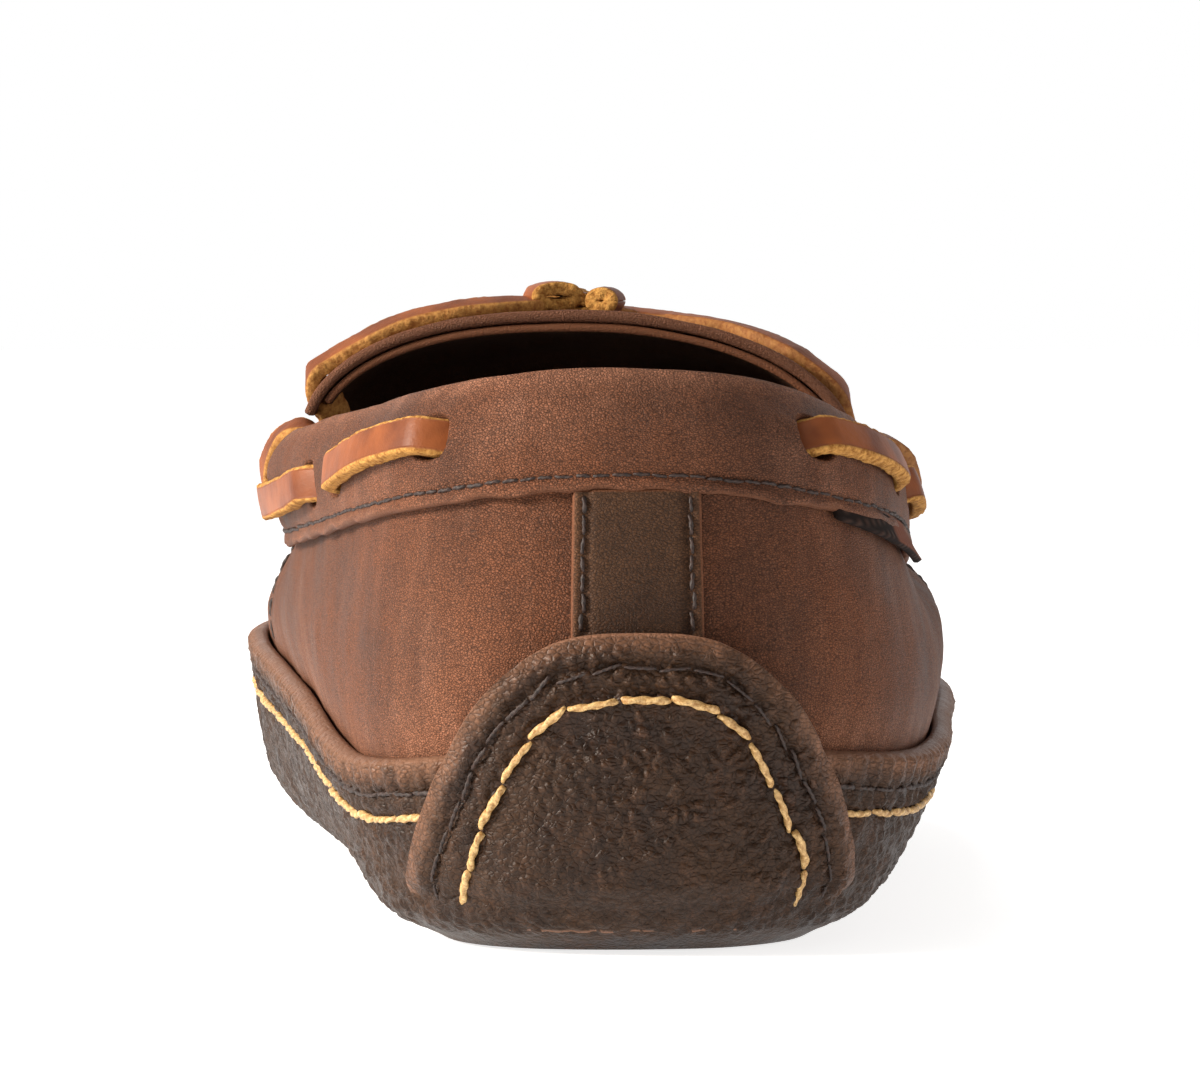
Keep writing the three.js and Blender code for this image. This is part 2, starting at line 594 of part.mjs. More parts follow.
// ---- Label: a short folded tape under the collar on the outer side, left plain ----
const LABEL_MIDDLE = 31;
const LABEL_FLARE = 1; // how far its lower edge stands off the quarter
function sideLabel() {
  const from = roundAlong(LABEL_MIDDLE + LABEL_LENGTH / 2, ROUND, ROUND - 7);
  const to = roundAlong(LABEL_MIDDLE - LABEL_LENGTH / 2, ROUND, ROUND - 7);
  const grid = (shift) => steps(from, to, 6).map((r) => {
    return steps(0, 1, 4).map((t) => {
      const z = atStation(SEAM_HEIGHT, r) - 2 * GAP - t * LABEL_DROP;
      const depth = -GAP - shift - LABEL_FLARE * t ** 1.6;
      return wallPoint(UPPER_WALL, r, upAt(UPPER_WALL, r, z), depth);
    });
  });
  return sheet(grid(LABEL_THICKNESS), grid(0));
}
add("side_label", sideLabel(), wovenTape);

// ---- Tongue and its lining, hinged where they are sewn to the plug ----
const TONGUE_STATIONS = [TONGUE_BACK, 118, 140, TONGUE_FRONT];
const TONGUE_CENTRE = [-5.5, -5, -2.5, -0.5];
const TONGUE_CREST = [81.5, 80, 76, 71.2];
// Half widths, as shares of half the shoe's width
const TONGUE_HALF = [[0.734, 0.724, 0.656, 0.579], [0.753, 0.724, 0.637, 0.579]];
const TONGUE_EDGE = [[67, 66.5, 62.5, 58.6], [63.5, 63.5, 61, 58.6]];
function tongueSurface(y, share) {
  const side = share < 0 ? 0 : 1;
  const alongTongue = (values) => cubicThrough(TONGUE_STATIONS, values, y);
  const a = Math.abs(share);
  const half = (alongTongue(TONGUE_HALF[side]) * SOLE_WIDTH) / 2;
  const low = alongTongue(TONGUE_EDGE[side]);
  const arch = Math.sqrt(Math.max(1 - a ** (side ? 1.9 : 2.2), 0));
  const z = low + (alongTongue(TONGUE_CREST) - low) * arch;
  return new THREE.Vector3(alongTongue(TONGUE_CENTRE) + share * half, y, z);
}
const tongueSheet = (back, front, reach, shallow, deep) => {
  return surfaceSheet(tongueSurface, back, front, 7, reach, 14, shallow, deep);
};
add("tongue", tongueSheet(TONGUE_BACK, TONGUE_FRONT, 0.985, 0, TONGUE_THICKNESS), brownNubuck);
const TONGUE_UNDER = TONGUE_THICKNESS + GAP;
add(
  "tongue_lining",
  tongueSheet(TONGUE_BACK + 1, TONGUE_FRONT - 2, 0.88, TONGUE_UNDER, TONGUE_UNDER + TONGUE_LINING_THICKNESS),
  liningLeather,
);

// ---- Lace: round inside the collar's fold, out through its slots, over the tongue and knotted ----
const LACE_STEP = 2.5;
const LACE_TAIL = LACE_DIVE + 1; // what stands out of the last slot before the lace turns up
const KNOT_ALONG = TONGUE_BACK + 10;
const KNOT_SHARE = -0.06;
const KNOT_SIZE = [13, 9, 4.4];
const PARTING = 0.2; // share of a crossing where it leaves the collar and starts to move with the tongue
const above = (y, share, height) => below(tongueSurface, y, share, -height);
const tongueUp = (y, share) => above(y, share, 1).sub(above(y, share, 0)).normalize();
const onTongue = (y, share, lift = 0) => {
  return { at: above(y, share, GAP + LACE_THICKNESS / 2 + lift), out: tongueUp(y, share) };
};

// A smooth path through places of {at, out}, from one share of its length to another.
function smoothPath(places, count, from = 0, to = 1) {
  const curve = new THREE.CatmullRomCurve3(places.map((p) => p.at), false, "centripetal");
  const outs = new THREE.CatmullRomCurve3(places.map((p) => p.out), false, "centripetal");
  return steps(from, to, count).map((t) => ({ at: curve.getPoint(t), out: outs.getPoint(t).normalize() }));
}
const lastSlot = (route) => route.slots[route.slots.length - 1];

// From the last slot the lace turns up past the crest and crosses to the knot.
function crossing(side, count, from, to) {
  const route = ROUTES[side];
  const end = lastSlot(route) + LACE_TAIL;
  const start = lacePlace(route, end);
  const ahead = start.at.clone().sub(lacePlace(route, end - 1).at).normalize();
  const sideways = side ? 1 : -1;
  const up = new THREE.Vector3(0, 0, 1);
  const off = (forward, outward, rise) => {
    const along = start.at.clone().addScaledVector(ahead, forward);
    return along.addScaledVector(start.out, outward).addScaledVector(up, rise);
  };
  const over = TONGUE_BACK + 13;
  const places = [
    { at: start.at, out: start.out },
    { at: off(2.6, 0.6, 0.8), out: start.out },
    { at: off(5, 1.6, 4), out: start.out },
    { at: off(4.6, 2.2, 9), out: start.out },
    { at: off(1.5, 1.6, 13.4), out: start.out.clone().add(up) },
    onTongue(over, sideways * 0.9, 1.6),
    onTongue(over - 1, sideways * 0.7),
    onTongue(over - 2, sideways * 0.45),
    onTongue(over - 3, KNOT_SHARE + sideways * 0.05, 0.4),
  ];
  return smoothPath(places, count, from, to);
}
function collarLace() {
  const half = (side) => {
    const route = ROUTES[side];
    const end = lastSlot(route) + LACE_TAIL;
    const inCollar = steps(0, end, Math.round(end / LACE_STEP)).map((run) => lacePlace(route, run));
    return [...inCollar, ...crossing(side, 5, 0, PARTING).slice(1)];
  };
  return strap([...half(1).reverse().slice(0, -1), ...half(0)], LACE_WIDTH, LACE_THICKNESS);
}
add("collar_lace", collarLace(), rawhide);

function loop(side) {
  const sideways = side ? 1 : -1;
  const reach = [[0, 0.02], [6, 0.2], [14, 0.42], [22, 0.6], [29, 0.62], [32, 0.48], [27, 0.3], [17, 0.14], [6, 0.02]];
  return smoothPath(
    reach.map(([forward, out], i) => {
      const lift = 0.5 + 2.6 * (i > 4 ? 1 : i / 4);
      return onTongue(KNOT_ALONG + forward, KNOT_SHARE + sideways * out, lift);
    }),
    22,
  );
}
function knot() {
  const ball = new THREE.SphereGeometry(0.5, 12, 8);
  ball.scale(...KNOT_SIZE);
  const place = above(KNOT_ALONG, KNOT_SHARE, GAP + KNOT_SIZE[2] / 2);
  return ball.translate(place.x, place.y, place.z);
}
function laceBow() {
  const clear = PARTING + 0.008 * LACE_WIDTH;
  const straps = [crossing(0, 20, clear, 1), crossing(1, 20, clear, 1), loop(0), loop(1)];
  return join(knot(), ...straps.map((path) => strap(path, LACE_WIDTH, LACE_THICKNESS)));
}
add("lace_bow", laceBow(), rawhide);

// ---- Threads: each seam's stitching as one thin line that lies on its leather ----
const onWall = (wall, round, up, depth) => {
  return { at: wallPoint(wall, round, up, depth), out: wallNormal(wall, round, up) };
};
const lying = (diameter, base = 0) => base - GAP - diameter / 2;
const TAB_SIDE = 1.9; // round coordinate where the bowl's side seams start, beside the tab
function rimThread(below, diameter) {
  const rounds = steps(TAB_SIDE, ROUND - TAB_SIDE, 56);
  return thread(
    rounds.map((r) => {
      const up = upAt(SOLE_WALL, r, atStation(RIM_HEIGHT, r) - below);
      return onWall(SOLE_WALL, r, up, lying(diameter));
    }),
    diameter,
  );
}
const FINE_INSET = 3.5; // from a cut edge to the fine seam
const WAXED_INSET = 6.6; // and to the waxed seam
add("sole_thread_fine", rimThread(FINE_INSET, FINE_THREAD), darkThread);
add("sole_thread_waxed", rimThread(WAXED_INSET, WAXED_THREAD), waxedThread);

// A seam on the tab, at a distance inside its edge.
function tabThread(inset, diameter) {
  const outline = steps(TAB_FOOT + 3, TAB_TOP, 16).map((z) => [cubicThrough(TAB_LEVELS, TAB_HALF_WIDTH, z), z]);
  const left = outline.map(([half, z]) => [-1, half, z]);
  const right = outline.map(([half, z]) => [1, half, z]).reverse();
  const centre = (TAB_TOP - inset - TAB_FOOT) / (TAB_TOP - TAB_FOOT);
  const path = [...left, ...right].map(([side, half, z]) => {
    const height = TAB_FOOT + (z - TAB_FOOT) * centre;
    const width = cubicThrough(TAB_LEVELS, TAB_HALF_WIDTH, z);
    const share = (side * Math.max(half - inset, 0.5)) / cubicThrough(TAB_LEVELS, TAB_HALF_WIDTH, height);
    const at = tabPoint(share, height, lying(diameter));
    const out = tabPoint(share, height, -1).sub(tabPoint(share, height, 1)).normalize();
    return { at, out, width };
  });
  return thread(path, diameter);
}
add("tab_thread_fine", tabThread(FINE_INSET, FINE_THREAD), darkThread);
add("tab_thread_waxed", tabThread(WAXED_INSET + 0.9, WAXED_THREAD), waxedThread);

const COLLAR_INSET = 0.12; // wall level of the seam that holds the collar band to the quarters
function collarThread() {
  const rounds = steps(BAND_END[1] - ROUND + 0.1, BAND_END[0] - 0.1, 48);
  return thread(rounds.map((r) => onWall(BAND_WALL, r, COLLAR_INSET, lying(FINE_THREAD))), FINE_THREAD);
}
add("collar_thread", collarThread(), darkThread);

const STRIP_INSET = 1.4;
function stripThread(side) {
  const round = roundAtSide(side * (STRIP_WIDTH / 2 - STRIP_INSET));
  const heights = steps(TAB_TOP + 2, SEAM_HEIGHT[0] - 1.5, 8);
  return thread(
    heights.map((z) => onWall(UPPER_WALL, round, upAt(UPPER_WALL, round, z), lying(FINE_THREAD, STRIP_DEPTH))),
    FINE_THREAD,
  );
}
add("strip_thread_medial", stripThread(-1), darkThread);
add("strip_thread_lateral", stripThread(1), darkThread);

const VAMP_INSET = 0.12;
function sideThread(round) {
  return thread(steps(1.2, 2.6, 8).map((u) => onWall(UPPER_WALL, round, u, lying(FINE_THREAD))), FINE_THREAD);
}
add("side_thread_medial", sideThread(SIDE_SEAM[0] + VAMP_INSET), darkThread);
add("side_thread_lateral", sideThread(SIDE_SEAM[1] - VAMP_INSET), darkThread);
function plugThread() {
  const rounds = steps(SIDE_SEAM[0] + 0.3, SIDE_SEAM[1] - 0.3, 44);
  return thread(rounds.map((r) => onWall(UPPER_WALL, r, VAMP_TOP - VAMP_INSET, lying(WAXED_THREAD))), WAXED_THREAD);
}
add("plug_thread", plugThread(), waxedThread);
function tongueThread() {
  const y = TONGUE_FRONT - 4;
  const height = GAP + FINE_THREAD / 2;
  return thread(
    steps(-0.9, 0.9, 16).map((share) => ({ at: above(y, share, height), out: tongueUp(y, share) })),
    FINE_THREAD,
  );
}
add("tongue_thread", tongueThread(), darkThread);

// ---- Set the origin under the middle of the bounding box ----
const box = new THREE.Box3().setFromObject(shoe);
const middle = box.getCenter(new THREE.Vector3());
shoe.position.set(-middle.x, -middle.y, -box.min.z);

export default moccasin;
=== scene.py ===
# %% [markdown]
# # A laced leather moccasin
#
# The shoe is a right-foot slip-on: a bowl of thick pebbled hide wraps the sole, a softer brown upper is sewn
# inside it, and a rawhide lace runs through a rolled collar and is knotted over the tongue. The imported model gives
# the place of each piece. This lesson rebuilds each leather, thread and lace as fine mesh work over it.

# %% Load the frame
import math

import bmesh
import bpy
import numpy as np
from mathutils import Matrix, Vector, noise


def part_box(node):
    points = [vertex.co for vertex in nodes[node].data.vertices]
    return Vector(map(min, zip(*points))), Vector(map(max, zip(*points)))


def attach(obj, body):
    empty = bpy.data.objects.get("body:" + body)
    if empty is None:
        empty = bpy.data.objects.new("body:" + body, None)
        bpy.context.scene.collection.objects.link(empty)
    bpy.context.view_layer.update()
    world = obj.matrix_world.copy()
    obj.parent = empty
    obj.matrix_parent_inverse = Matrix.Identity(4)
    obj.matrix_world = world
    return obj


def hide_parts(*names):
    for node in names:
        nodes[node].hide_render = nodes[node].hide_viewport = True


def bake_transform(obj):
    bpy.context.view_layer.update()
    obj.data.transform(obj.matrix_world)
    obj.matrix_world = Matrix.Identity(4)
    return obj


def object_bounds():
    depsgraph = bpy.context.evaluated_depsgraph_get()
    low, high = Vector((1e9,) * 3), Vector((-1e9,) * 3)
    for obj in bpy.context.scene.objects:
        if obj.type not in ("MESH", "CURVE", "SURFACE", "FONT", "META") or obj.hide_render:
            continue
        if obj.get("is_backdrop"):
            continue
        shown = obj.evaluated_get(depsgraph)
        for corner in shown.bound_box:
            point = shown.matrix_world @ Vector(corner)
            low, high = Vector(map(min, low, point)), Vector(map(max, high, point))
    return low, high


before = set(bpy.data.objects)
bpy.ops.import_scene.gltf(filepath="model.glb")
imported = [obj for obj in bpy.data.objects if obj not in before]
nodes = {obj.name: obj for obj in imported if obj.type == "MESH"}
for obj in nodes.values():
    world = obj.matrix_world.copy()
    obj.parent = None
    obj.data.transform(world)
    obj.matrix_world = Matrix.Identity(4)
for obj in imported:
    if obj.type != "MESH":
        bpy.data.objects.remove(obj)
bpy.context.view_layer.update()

# %% [markdown]
# ## The pattern
# A shoemaker works from a last. Here the last is a closed outline, the rim of the sole's wall, and every wall is
# given as an offset from that outline and a height, at ten stations round the foot. "Round" counts outline points
# from the heel's middle along the inner side, and "up" counts levels from a wall's foot. All are in millimetres.

# %% The outline and the stations
SOLE_LENGTH = 290
SOLE_WIDTH = 103.6
OUTLINE = np.array([
    (0, 0), (-0.386, 0.0155), (-0.647, 0.069), (-0.763, 0.1655), (-0.849, 0.31),
    (-0.927, 0.448), (-0.996, 0.593), (-1, 0.707), (-0.898, 0.845), (-0.56, 0.9585),
    (-0.097, 1), (0.405, 0.976), (0.772, 0.89), (0.965, 0.7585), (1, 0.6205),
    (0.961, 0.4655), (0.888, 0.31), (0.82, 0.1725), (0.676, 0.0725), (0.386, 0.0155),
]) * (SOLE_WIDTH / 2, SOLE_LENGTH)
ROUND = len(OUTLINE)
TOE = ROUND / 2
# heel, inner heel side, inner waist, inner ball, inner toe corner, toe, and back along the outer side
STATIONS = np.array([0, 2.5, 4.3, 7, 9, 10, 11, 13.2, 15.8, 17.6])
RIM_HEIGHT = np.array([26, 22.5, 27.5, 31, 29, 28, 28, 24.5, 24.5, 23])
SEAM_HEIGHT = np.array([59.2, 54, 48.5, 50, 43, 40, 43, 48.5, 45.2, 53])
CREST_HEIGHT = np.array([74, 69.5, 63, 52, 52, 52, 52, 52, 60.5, 68])
SEAM_OFFSET = np.array([-4, -3, -1.5, -15, -19, -21, -19, -15.5, -9, -5.5])
CREST_OFFSET = np.array([-8, -7, -1, -26, -26, -26, -26, -26, -13, -12])
BULGE_HEIGHT = np.array([38, 35, 38, 40, 37, 35, 37, 40, 37, 35])
BULGE_OFFSET = np.array([-1.5, -1.5, -0.5, -5, -6, -7, -6, -5, -1.5, -2])

# %% [markdown]
# Between the given points everything runs on smooth curves, as a shoemaker's pattern does when it is drawn with a
# flexible ruler. One function does that for heights, offsets and outlines alike.

# %% Curves through points
def through(knots, values, at):
    """A smooth curve through values at knots. values may differ for each place that is asked for."""
    knots = np.asarray(knots, float)
    at = np.clip(np.asarray(at, float), knots[0], knots[-1])
    values = np.asarray(values, float)
    if values.ndim == 1:
        values = values.reshape((-1,) + (1,) * at.ndim)
    values = np.broadcast_to(values, (len(knots),) + at.shape)
    step = np.clip(np.searchsorted(knots, at, side="right") - 1, 0, len(knots) - 2)
    before = np.maximum(np.arange(len(knots)) - 1, 0)
    after = np.minimum(np.arange(len(knots)) + 1, len(knots) - 1)
    gaps = (knots[after] - knots[before]).reshape((-1,) + (1,) * at.ndim)
    slopes = (values[after] - values[before]) / gaps
    span = knots[step + 1] - knots[step]
    s = (at - knots[step]) / span
    pick = lambda table, index: np.take_along_axis(table, index[None], 0)[0]
    return (
        (2 * s**3 - 3 * s**2 + 1) * pick(values, step)
        + (s**3 - 2 * s**2 + s) * span * pick(slopes, step)
        + (3 * s**2 - 2 * s**3) * pick(values, step + 1)
        + (s**3 - s**2) * span * pick(slopes, step + 1)
    )


def at_station(values, round_):
    """A value given at the stations, anywhere round the outline."""
    knots = np.concatenate([STATIONS[-2:] - ROUND, STATIONS, STATIONS[:2] + ROUND])
    values = np.asarray(values, float)
    return through(knots, np.concatenate([values[-2:], values, values[:2]]), np.mod(round_, ROUND))


def rim_at(round_):
    """The rim's plan position, on a closed curve through the outline's points."""
    round_ = np.asarray(round_, float)
    first = np.floor(round_).astype(int)
    t = (round_ - first)[..., None]
    a, b, c, d = (OUTLINE[(first + k) % ROUND] for k in (-1, 0, 1, 2))
    return 0.5 * (2 * b + (c - a) * t + (2 * a - 5 * b + 4 * c - d) * t**2 + (3 * (b - c) + d - a) * t**3)


def rim_normal(round_):
    """The plan direction square out of the rim."""
    along = rim_at(np.add(round_, 1e-3)) - rim_at(np.subtract(round_, 1e-3))
    along /= np.linalg.norm(along, axis=-1, keepdims=True)
    return np.stack([-along[..., 1], along[..., 0]], -1)


def smoothstep(at, low, high):
    """0 below low, 1 above high, and a soft step between."""
    t = np.clip((np.asarray(at, float) - low) / (high - low), 0, 1)
    return t * t * (3 - 2 * t)


rim_box = rim_at(np.arange(64) * ROUND / 64).max(0)
low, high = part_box("outer_sole")
SHIFT = np.array([high.x * 1000 - rim_box[0], high.y * 1000 - rim_box[1], 0])
print("the pattern sits at", np.round(SHIFT, 2), "mm in the frame")

# %% [markdown]
# The sole's wall, the upper and the collar band are three walls round the same outline. Each is a list of levels
# from its foot to its top, and each level is an offset from the rim, outward positive, with a height. A place on a
# wall is found from its round, its level and a depth into the leather.

# %% The walls, level by level
SOLE_THICKNESS = 2.8
UPPER_THICKNESS = 1.6
BAND_THICKNESS = 1.4
COLLAR_ROLL = 6  # how thick the collar is over its fold
GAP = 0.35  # room between two pieces of leather
UPPER_FOOT = 8.25
TUCK_OFFSET = np.array([-0.4, -0.4, -0.4, -5, -5, -6, -5, -5, -1.4, -1.2])
every = lambda value: np.full(len(STATIONS), float(value))
SOLE_WALL = [
    (np.array([-13, -13, -20, -17, -17, -17, -17, -17, -20, -16]), every(0)),
    (np.array([-6, -6, -11, -9.5, -8.5, -8.5, -8.5, -10, -12.5, -9]), every(4)),
    (np.array([-2.5, -3, -4.5, -3, -3, -3, -3, -3.5, -5.5, -4]), every(12)),
    (every(0), RIM_HEIGHT),
]
UPPER_WALL = [
    (np.array([-8.5, -8.5, -12, -11, -11, -11, -11, -11, -11.5, -9]), every(UPPER_FOOT)),
    (every(-SOLE_THICKNESS - 1.5 * GAP), RIM_HEIGHT),
    (BULGE_OFFSET, BULGE_HEIGHT),
    (SEAM_OFFSET, SEAM_HEIGHT),
    (SEAM_OFFSET + TUCK_OFFSET, SEAM_HEIGHT + 2.5),
]
BAND_OUT = BAND_THICKNESS + GAP
BAND_WALL = [
    (SEAM_OFFSET + BAND_OUT, SEAM_HEIGHT),
    (0.5 * (SEAM_OFFSET + BAND_OUT + CREST_OFFSET + COLLAR_ROLL / 2) + 0.6, 0.5 * (SEAM_HEIGHT + CREST_HEIGHT)),
    (CREST_OFFSET + COLLAR_ROLL / 2 - 0.4, CREST_HEIGHT - COLLAR_ROLL / 2),
    (CREST_OFFSET, CREST_HEIGHT),
    (CREST_OFFSET - COLLAR_ROLL / 2, CREST_HEIGHT - COLLAR_ROLL / 2),
    (CREST_OFFSET - COLLAR_ROLL / 2 - 0.6, CREST_HEIGHT - 8.5),
]


def profile(wall, round_, up):
    """Offset from the rim and height, on a wall."""
    round_, up = np.broadcast_arrays(np.asarray(round_, float), np.asarray(up, float))
    knots = np.arange(len(wall))
    return [through(knots, np.stack([at_station(level[k], round_) for level in wall]), up) for k in (0, 1)]


def wall_point(wall, round_, up, depth=0.0):
    """A place on a wall, sunk into it by a depth measured square to its profile."""
    round_, up = np.broadcast_arrays(np.asarray(round_, float), np.asarray(up, float))
    step = 1e-3
    offset, height = profile(wall, round_, up)
    o0, z0 = profile(wall, round_, np.maximum(up - step, 0))
    o1, z1 = profile(wall, round_, np.minimum(up + step, len(wall) - 1))
    length = np.hypot(o1 - o0, z1 - z0)
    offset = offset - depth * (z1 - z0) / length
    plan = rim_at(round_) + rim_normal(round_) * offset[..., None]
    return np.concatenate([plan, (height + depth * (o1 - o0) / length)[..., None]], -1)


def unit(vectors):
    """Each vector at a length of one."""
    return vectors / np.maximum(np.linalg.norm(vectors, axis=-1, keepdims=True), 1e-9)


def wall_normal(wall, round_, up):
    """The direction square out of a wall."""
    return unit(wall_point(wall, round_, up, -1) - wall_point(wall, round_, up, 1))


def up_at(wall, round_, height, first=0.0, last=None):
    """How far up a wall a height is reached, between two levels."""
    round_, height = np.broadcast_arrays(np.asarray(round_, float), np.asarray(height, float))
    low = np.full(round_.shape, float(first))
    high = np.full(round_.shape, float(len(wall) - 1 if last is None else last))
    for _ in range(24):
        middle = (low + high) / 2
        under = profile(wall, round_, middle)[1] < height
        low, high = np.where(under, middle, low), np.where(under, high, middle)
    return (low + high) / 2


side_rounds = np.linspace(-2.6, 2.6, 400)
side_x = rim_at(side_rounds)[:, 0]


def round_at_side(x):
    """The place round the heel whose rim point lies a distance x to one side."""
    return np.interp(x, side_x[::-1], side_rounds[::-1])


def round_along(y, first, last, line=None):
    """The place round one side, between two rounds, where a line round the upper is y from the heel."""
    line = line or (lambda r: wall_point(UPPER_WALL, r, 3.0))
    rounds = np.linspace(first, last, 300)
    return np.interp(y, line(rounds)[:, 1], rounds)


# %% [markdown]
# ## Camera, floor and light
# The shoe is seen from straight behind the heel, a little above it, through a long lens, so the toe hardly shrinks.
# A large soft light on the left and a weak one on the right model the studio's.

# %% Camera
EYE_BACK = 920  # from the heel to the eye
EYE_HEIGHT = 88
EYE_ASIDE = -4.75
EYE_TURN = math.radians(1.6)
EYE_DOWN = math.radians(2.245)
LENS = 220.8

ahead = np.array([math.sin(EYE_TURN), math.cos(EYE_TURN), 0])
beside = np.array([math.cos(EYE_TURN), -math.sin(EYE_TURN), 0])
eye = beside * EYE_ASIDE - ahead * EYE_BACK + (0, 0, EYE_HEIGHT)
camera = bpy.data.objects.new("camera", bpy.data.cameras.new("camera"))
camera.data.lens = LENS
camera.data.sensor_width = 36
camera.data.clip_start = 0.05
camera.data.clip_end = 20
camera.location = (eye + SHIFT) / 1000
camera.rotation_euler = (math.pi / 2 - EYE_DOWN, 0, -EYE_TURN)
bpy.context.scene.collection.objects.link(camera)
bpy.context.scene.camera = camera

# %% [markdown]
# The floor is a sweep of matt white paper that glows a little, as paper does under many studio lamps, so it stays
# white under the shoe. The world is bright only behind the shoe, and dim on the viewer's side, because the leather
# would turn grey if it mirrored white from everywhere.

# %% Floor and lights
def node(tree, kind, settings=None, **links):
    """Adds a node with its settings. Each link is a socket's name, with _ for a space, and a value or an output."""
    made = tree.nodes.new(kind)
    for key, value in (settings or {}).items():
        setattr(made, key, value)
    for key, value in links.items():
        name = key.replace("_", " ").strip()
        socket = made.inputs[int(name[1:])] if name[0] == "i" and name[1:].isdigit() else made.inputs[name]
        if isinstance(value, bpy.types.NodeSocket):
            tree.links.new(value, socket)
        else:
            socket.default_value = value
    return made


def from_hex(code):
    """An sRGB colour such as 0xB06940 as linear red, green, blue and alpha."""
    parts = [((code >> shift) & 255) / 255 for shift in (16, 8, 0)]
    return [v / 12.92 if v <= 0.04045 else ((v + 0.055) / 1.055) ** 2.4 for v in parts] + [1]


def area_light(name, place, size, watts, colour):
    """A square lamp that looks at the heel."""
    lamp = bpy.data.lights.new(name, "AREA")
    lamp.energy = watts
    lamp.size = size
    lamp.color = from_hex(colour)[:3]
    holder = bpy.data.objects.new(name, lamp)
    holder.location = place
    holder.rotation_euler = (HEEL - Vector(place)).to_track_quat("-Z", "Y").to_euler()
    bpy.context.scene.collection.objects.link(holder)


HEEL = Vector((0, -0.06, 0.04))
area_light("key", (-1.3, -0.45, 0.62), 0.4, 43, 0xFFF6EA)
area_light("top", (-0.35, -0.1, 1.2), 0.5, 3.5, 0xFFFFFF)
area_light("fill", (1.2, -0.4, 0.3), 0.8, 4.2, 0xFFF1E4)

world = bpy.data.worlds.new("studio")
bpy.context.scene.world = world
world.use_nodes = True
sky = world.node_tree
way = node(sky, "ShaderNodeSeparateXYZ", Vector=node(sky, "ShaderNodeTexCoord").outputs["Generated"])
backdrop = node(
    sky, "ShaderNodeMapRange", Value=way.outputs["Y"], From_Min=0.6, From_Max=0.93, To_Min=0.22, To_Max=1.0,
)
sky.links.new(backdrop.outputs["Result"], sky.nodes["Background"].inputs["Color"])
bpy.context.scene.view_settings.view_transform = "Standard"

floor_mesh = bpy.data.meshes.new("floor")
FLOOR_REACH, FLOOR_DROP = 6, 0.0004  # metres
corners = [(x * FLOOR_REACH, y * FLOOR_REACH, -FLOOR_DROP) for x, y in ((-1, -1), (1, -1), (1, 1), (-1, 1))]
floor_mesh.from_pydata(corners, [], [(0, 1, 2, 3)])
floor = bpy.data.objects.new("floor", floor_mesh)
bpy.context.scene.collection.objects.link(floor)
paper = bpy.data.materials.new("white paper sweep")
paper.use_nodes = True
for socket, value in (
    ("Base Color", (0.75, 0.75, 0.75, 1)), ("Roughness", 0.9),
    ("Emission Color", (1, 1, 1, 1)), ("Emission Strength", 0.78),
):
    paper.node_tree.nodes["Principled BSDF"].inputs[socket].default_value = value
floor_mesh.materials.append(paper)
floor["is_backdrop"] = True

# %% [markdown]
# ## Leather as fine sheets
# A leather piece is a sheet with two faces and a rounded cut edge. The two faces are grids of points that follow a
# wall at two depths. The edge is a short arc between them, marked in an attribute named "cut", so that the material
# can show the raw fibre there. "worn" marks folds and rims where the finish has rubbed lighter.

# %% Sheets
def finish_mesh(name, points, faces, material, body, cut=None, worn=None, replaces=(), slot=None):
    """Makes the object from points in millimetres of the pattern, with its attributes, and puts it on its body."""
    mesh = bpy.data.meshes.new(name)
    mesh.from_pydata(((np.asarray(points) + SHIFT) / 1000).tolist(), [], [list(map(int, f)) for f in faces])
    for key, values in (("cut", cut), ("worn", worn)):
        values = np.zeros(len(points)) if values is None else values
        mesh.attributes.new(key, "FLOAT", "POINT").data.foreach_set("value", np.asarray(values, np.float32))
    work = bmesh.new()
    work.from_mesh(mesh)
    bmesh.ops.remove_doubles(work, verts=work.verts, dist=1e-6)
    bmesh.ops.recalc_face_normals(work, faces=work.faces)
    work.to_mesh(mesh)
    work.free()
    mesh.shade_smooth()
    mesh.materials.append(material)
    made = bpy.data.objects.new(name, mesh)
    bpy.context.scene.collection.objects.link(made)
    if body:
        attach(made, body)
    if replaces:
        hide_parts(*replaces)
    return made


def grid_quads(index, wrap=False):
    """Quads between neighbours of a grid of vertex numbers."""
    nxt = np.roll(index, -1, axis=0) if wrap else index[1:]
    cur = index if wrap else index[:-1]
    return np.stack([cur[:, :-1], nxt[:, :-1], nxt[:, 1:], cur[:, 1:]], -1).reshape(-1, 4).tolist()


def border(rows, columns):
    """The grid places along a grid's border, in order, and the inner neighbour of each."""
    loop = [(i, 0) for i in range(rows - 1)] + [(rows - 1, j) for j in range(columns - 1)]
    loop += [(i, columns - 1) for i in range(rows - 1, 0, -1)] + [(0, j) for j in range(columns - 1, 0, -1)]
    inside = [(min(max(i, 1), rows - 2), min(max(j, 1), columns - 2)) for i, j in loop]
    return tuple(np.array(loop).T), tuple(np.array(inside).T)


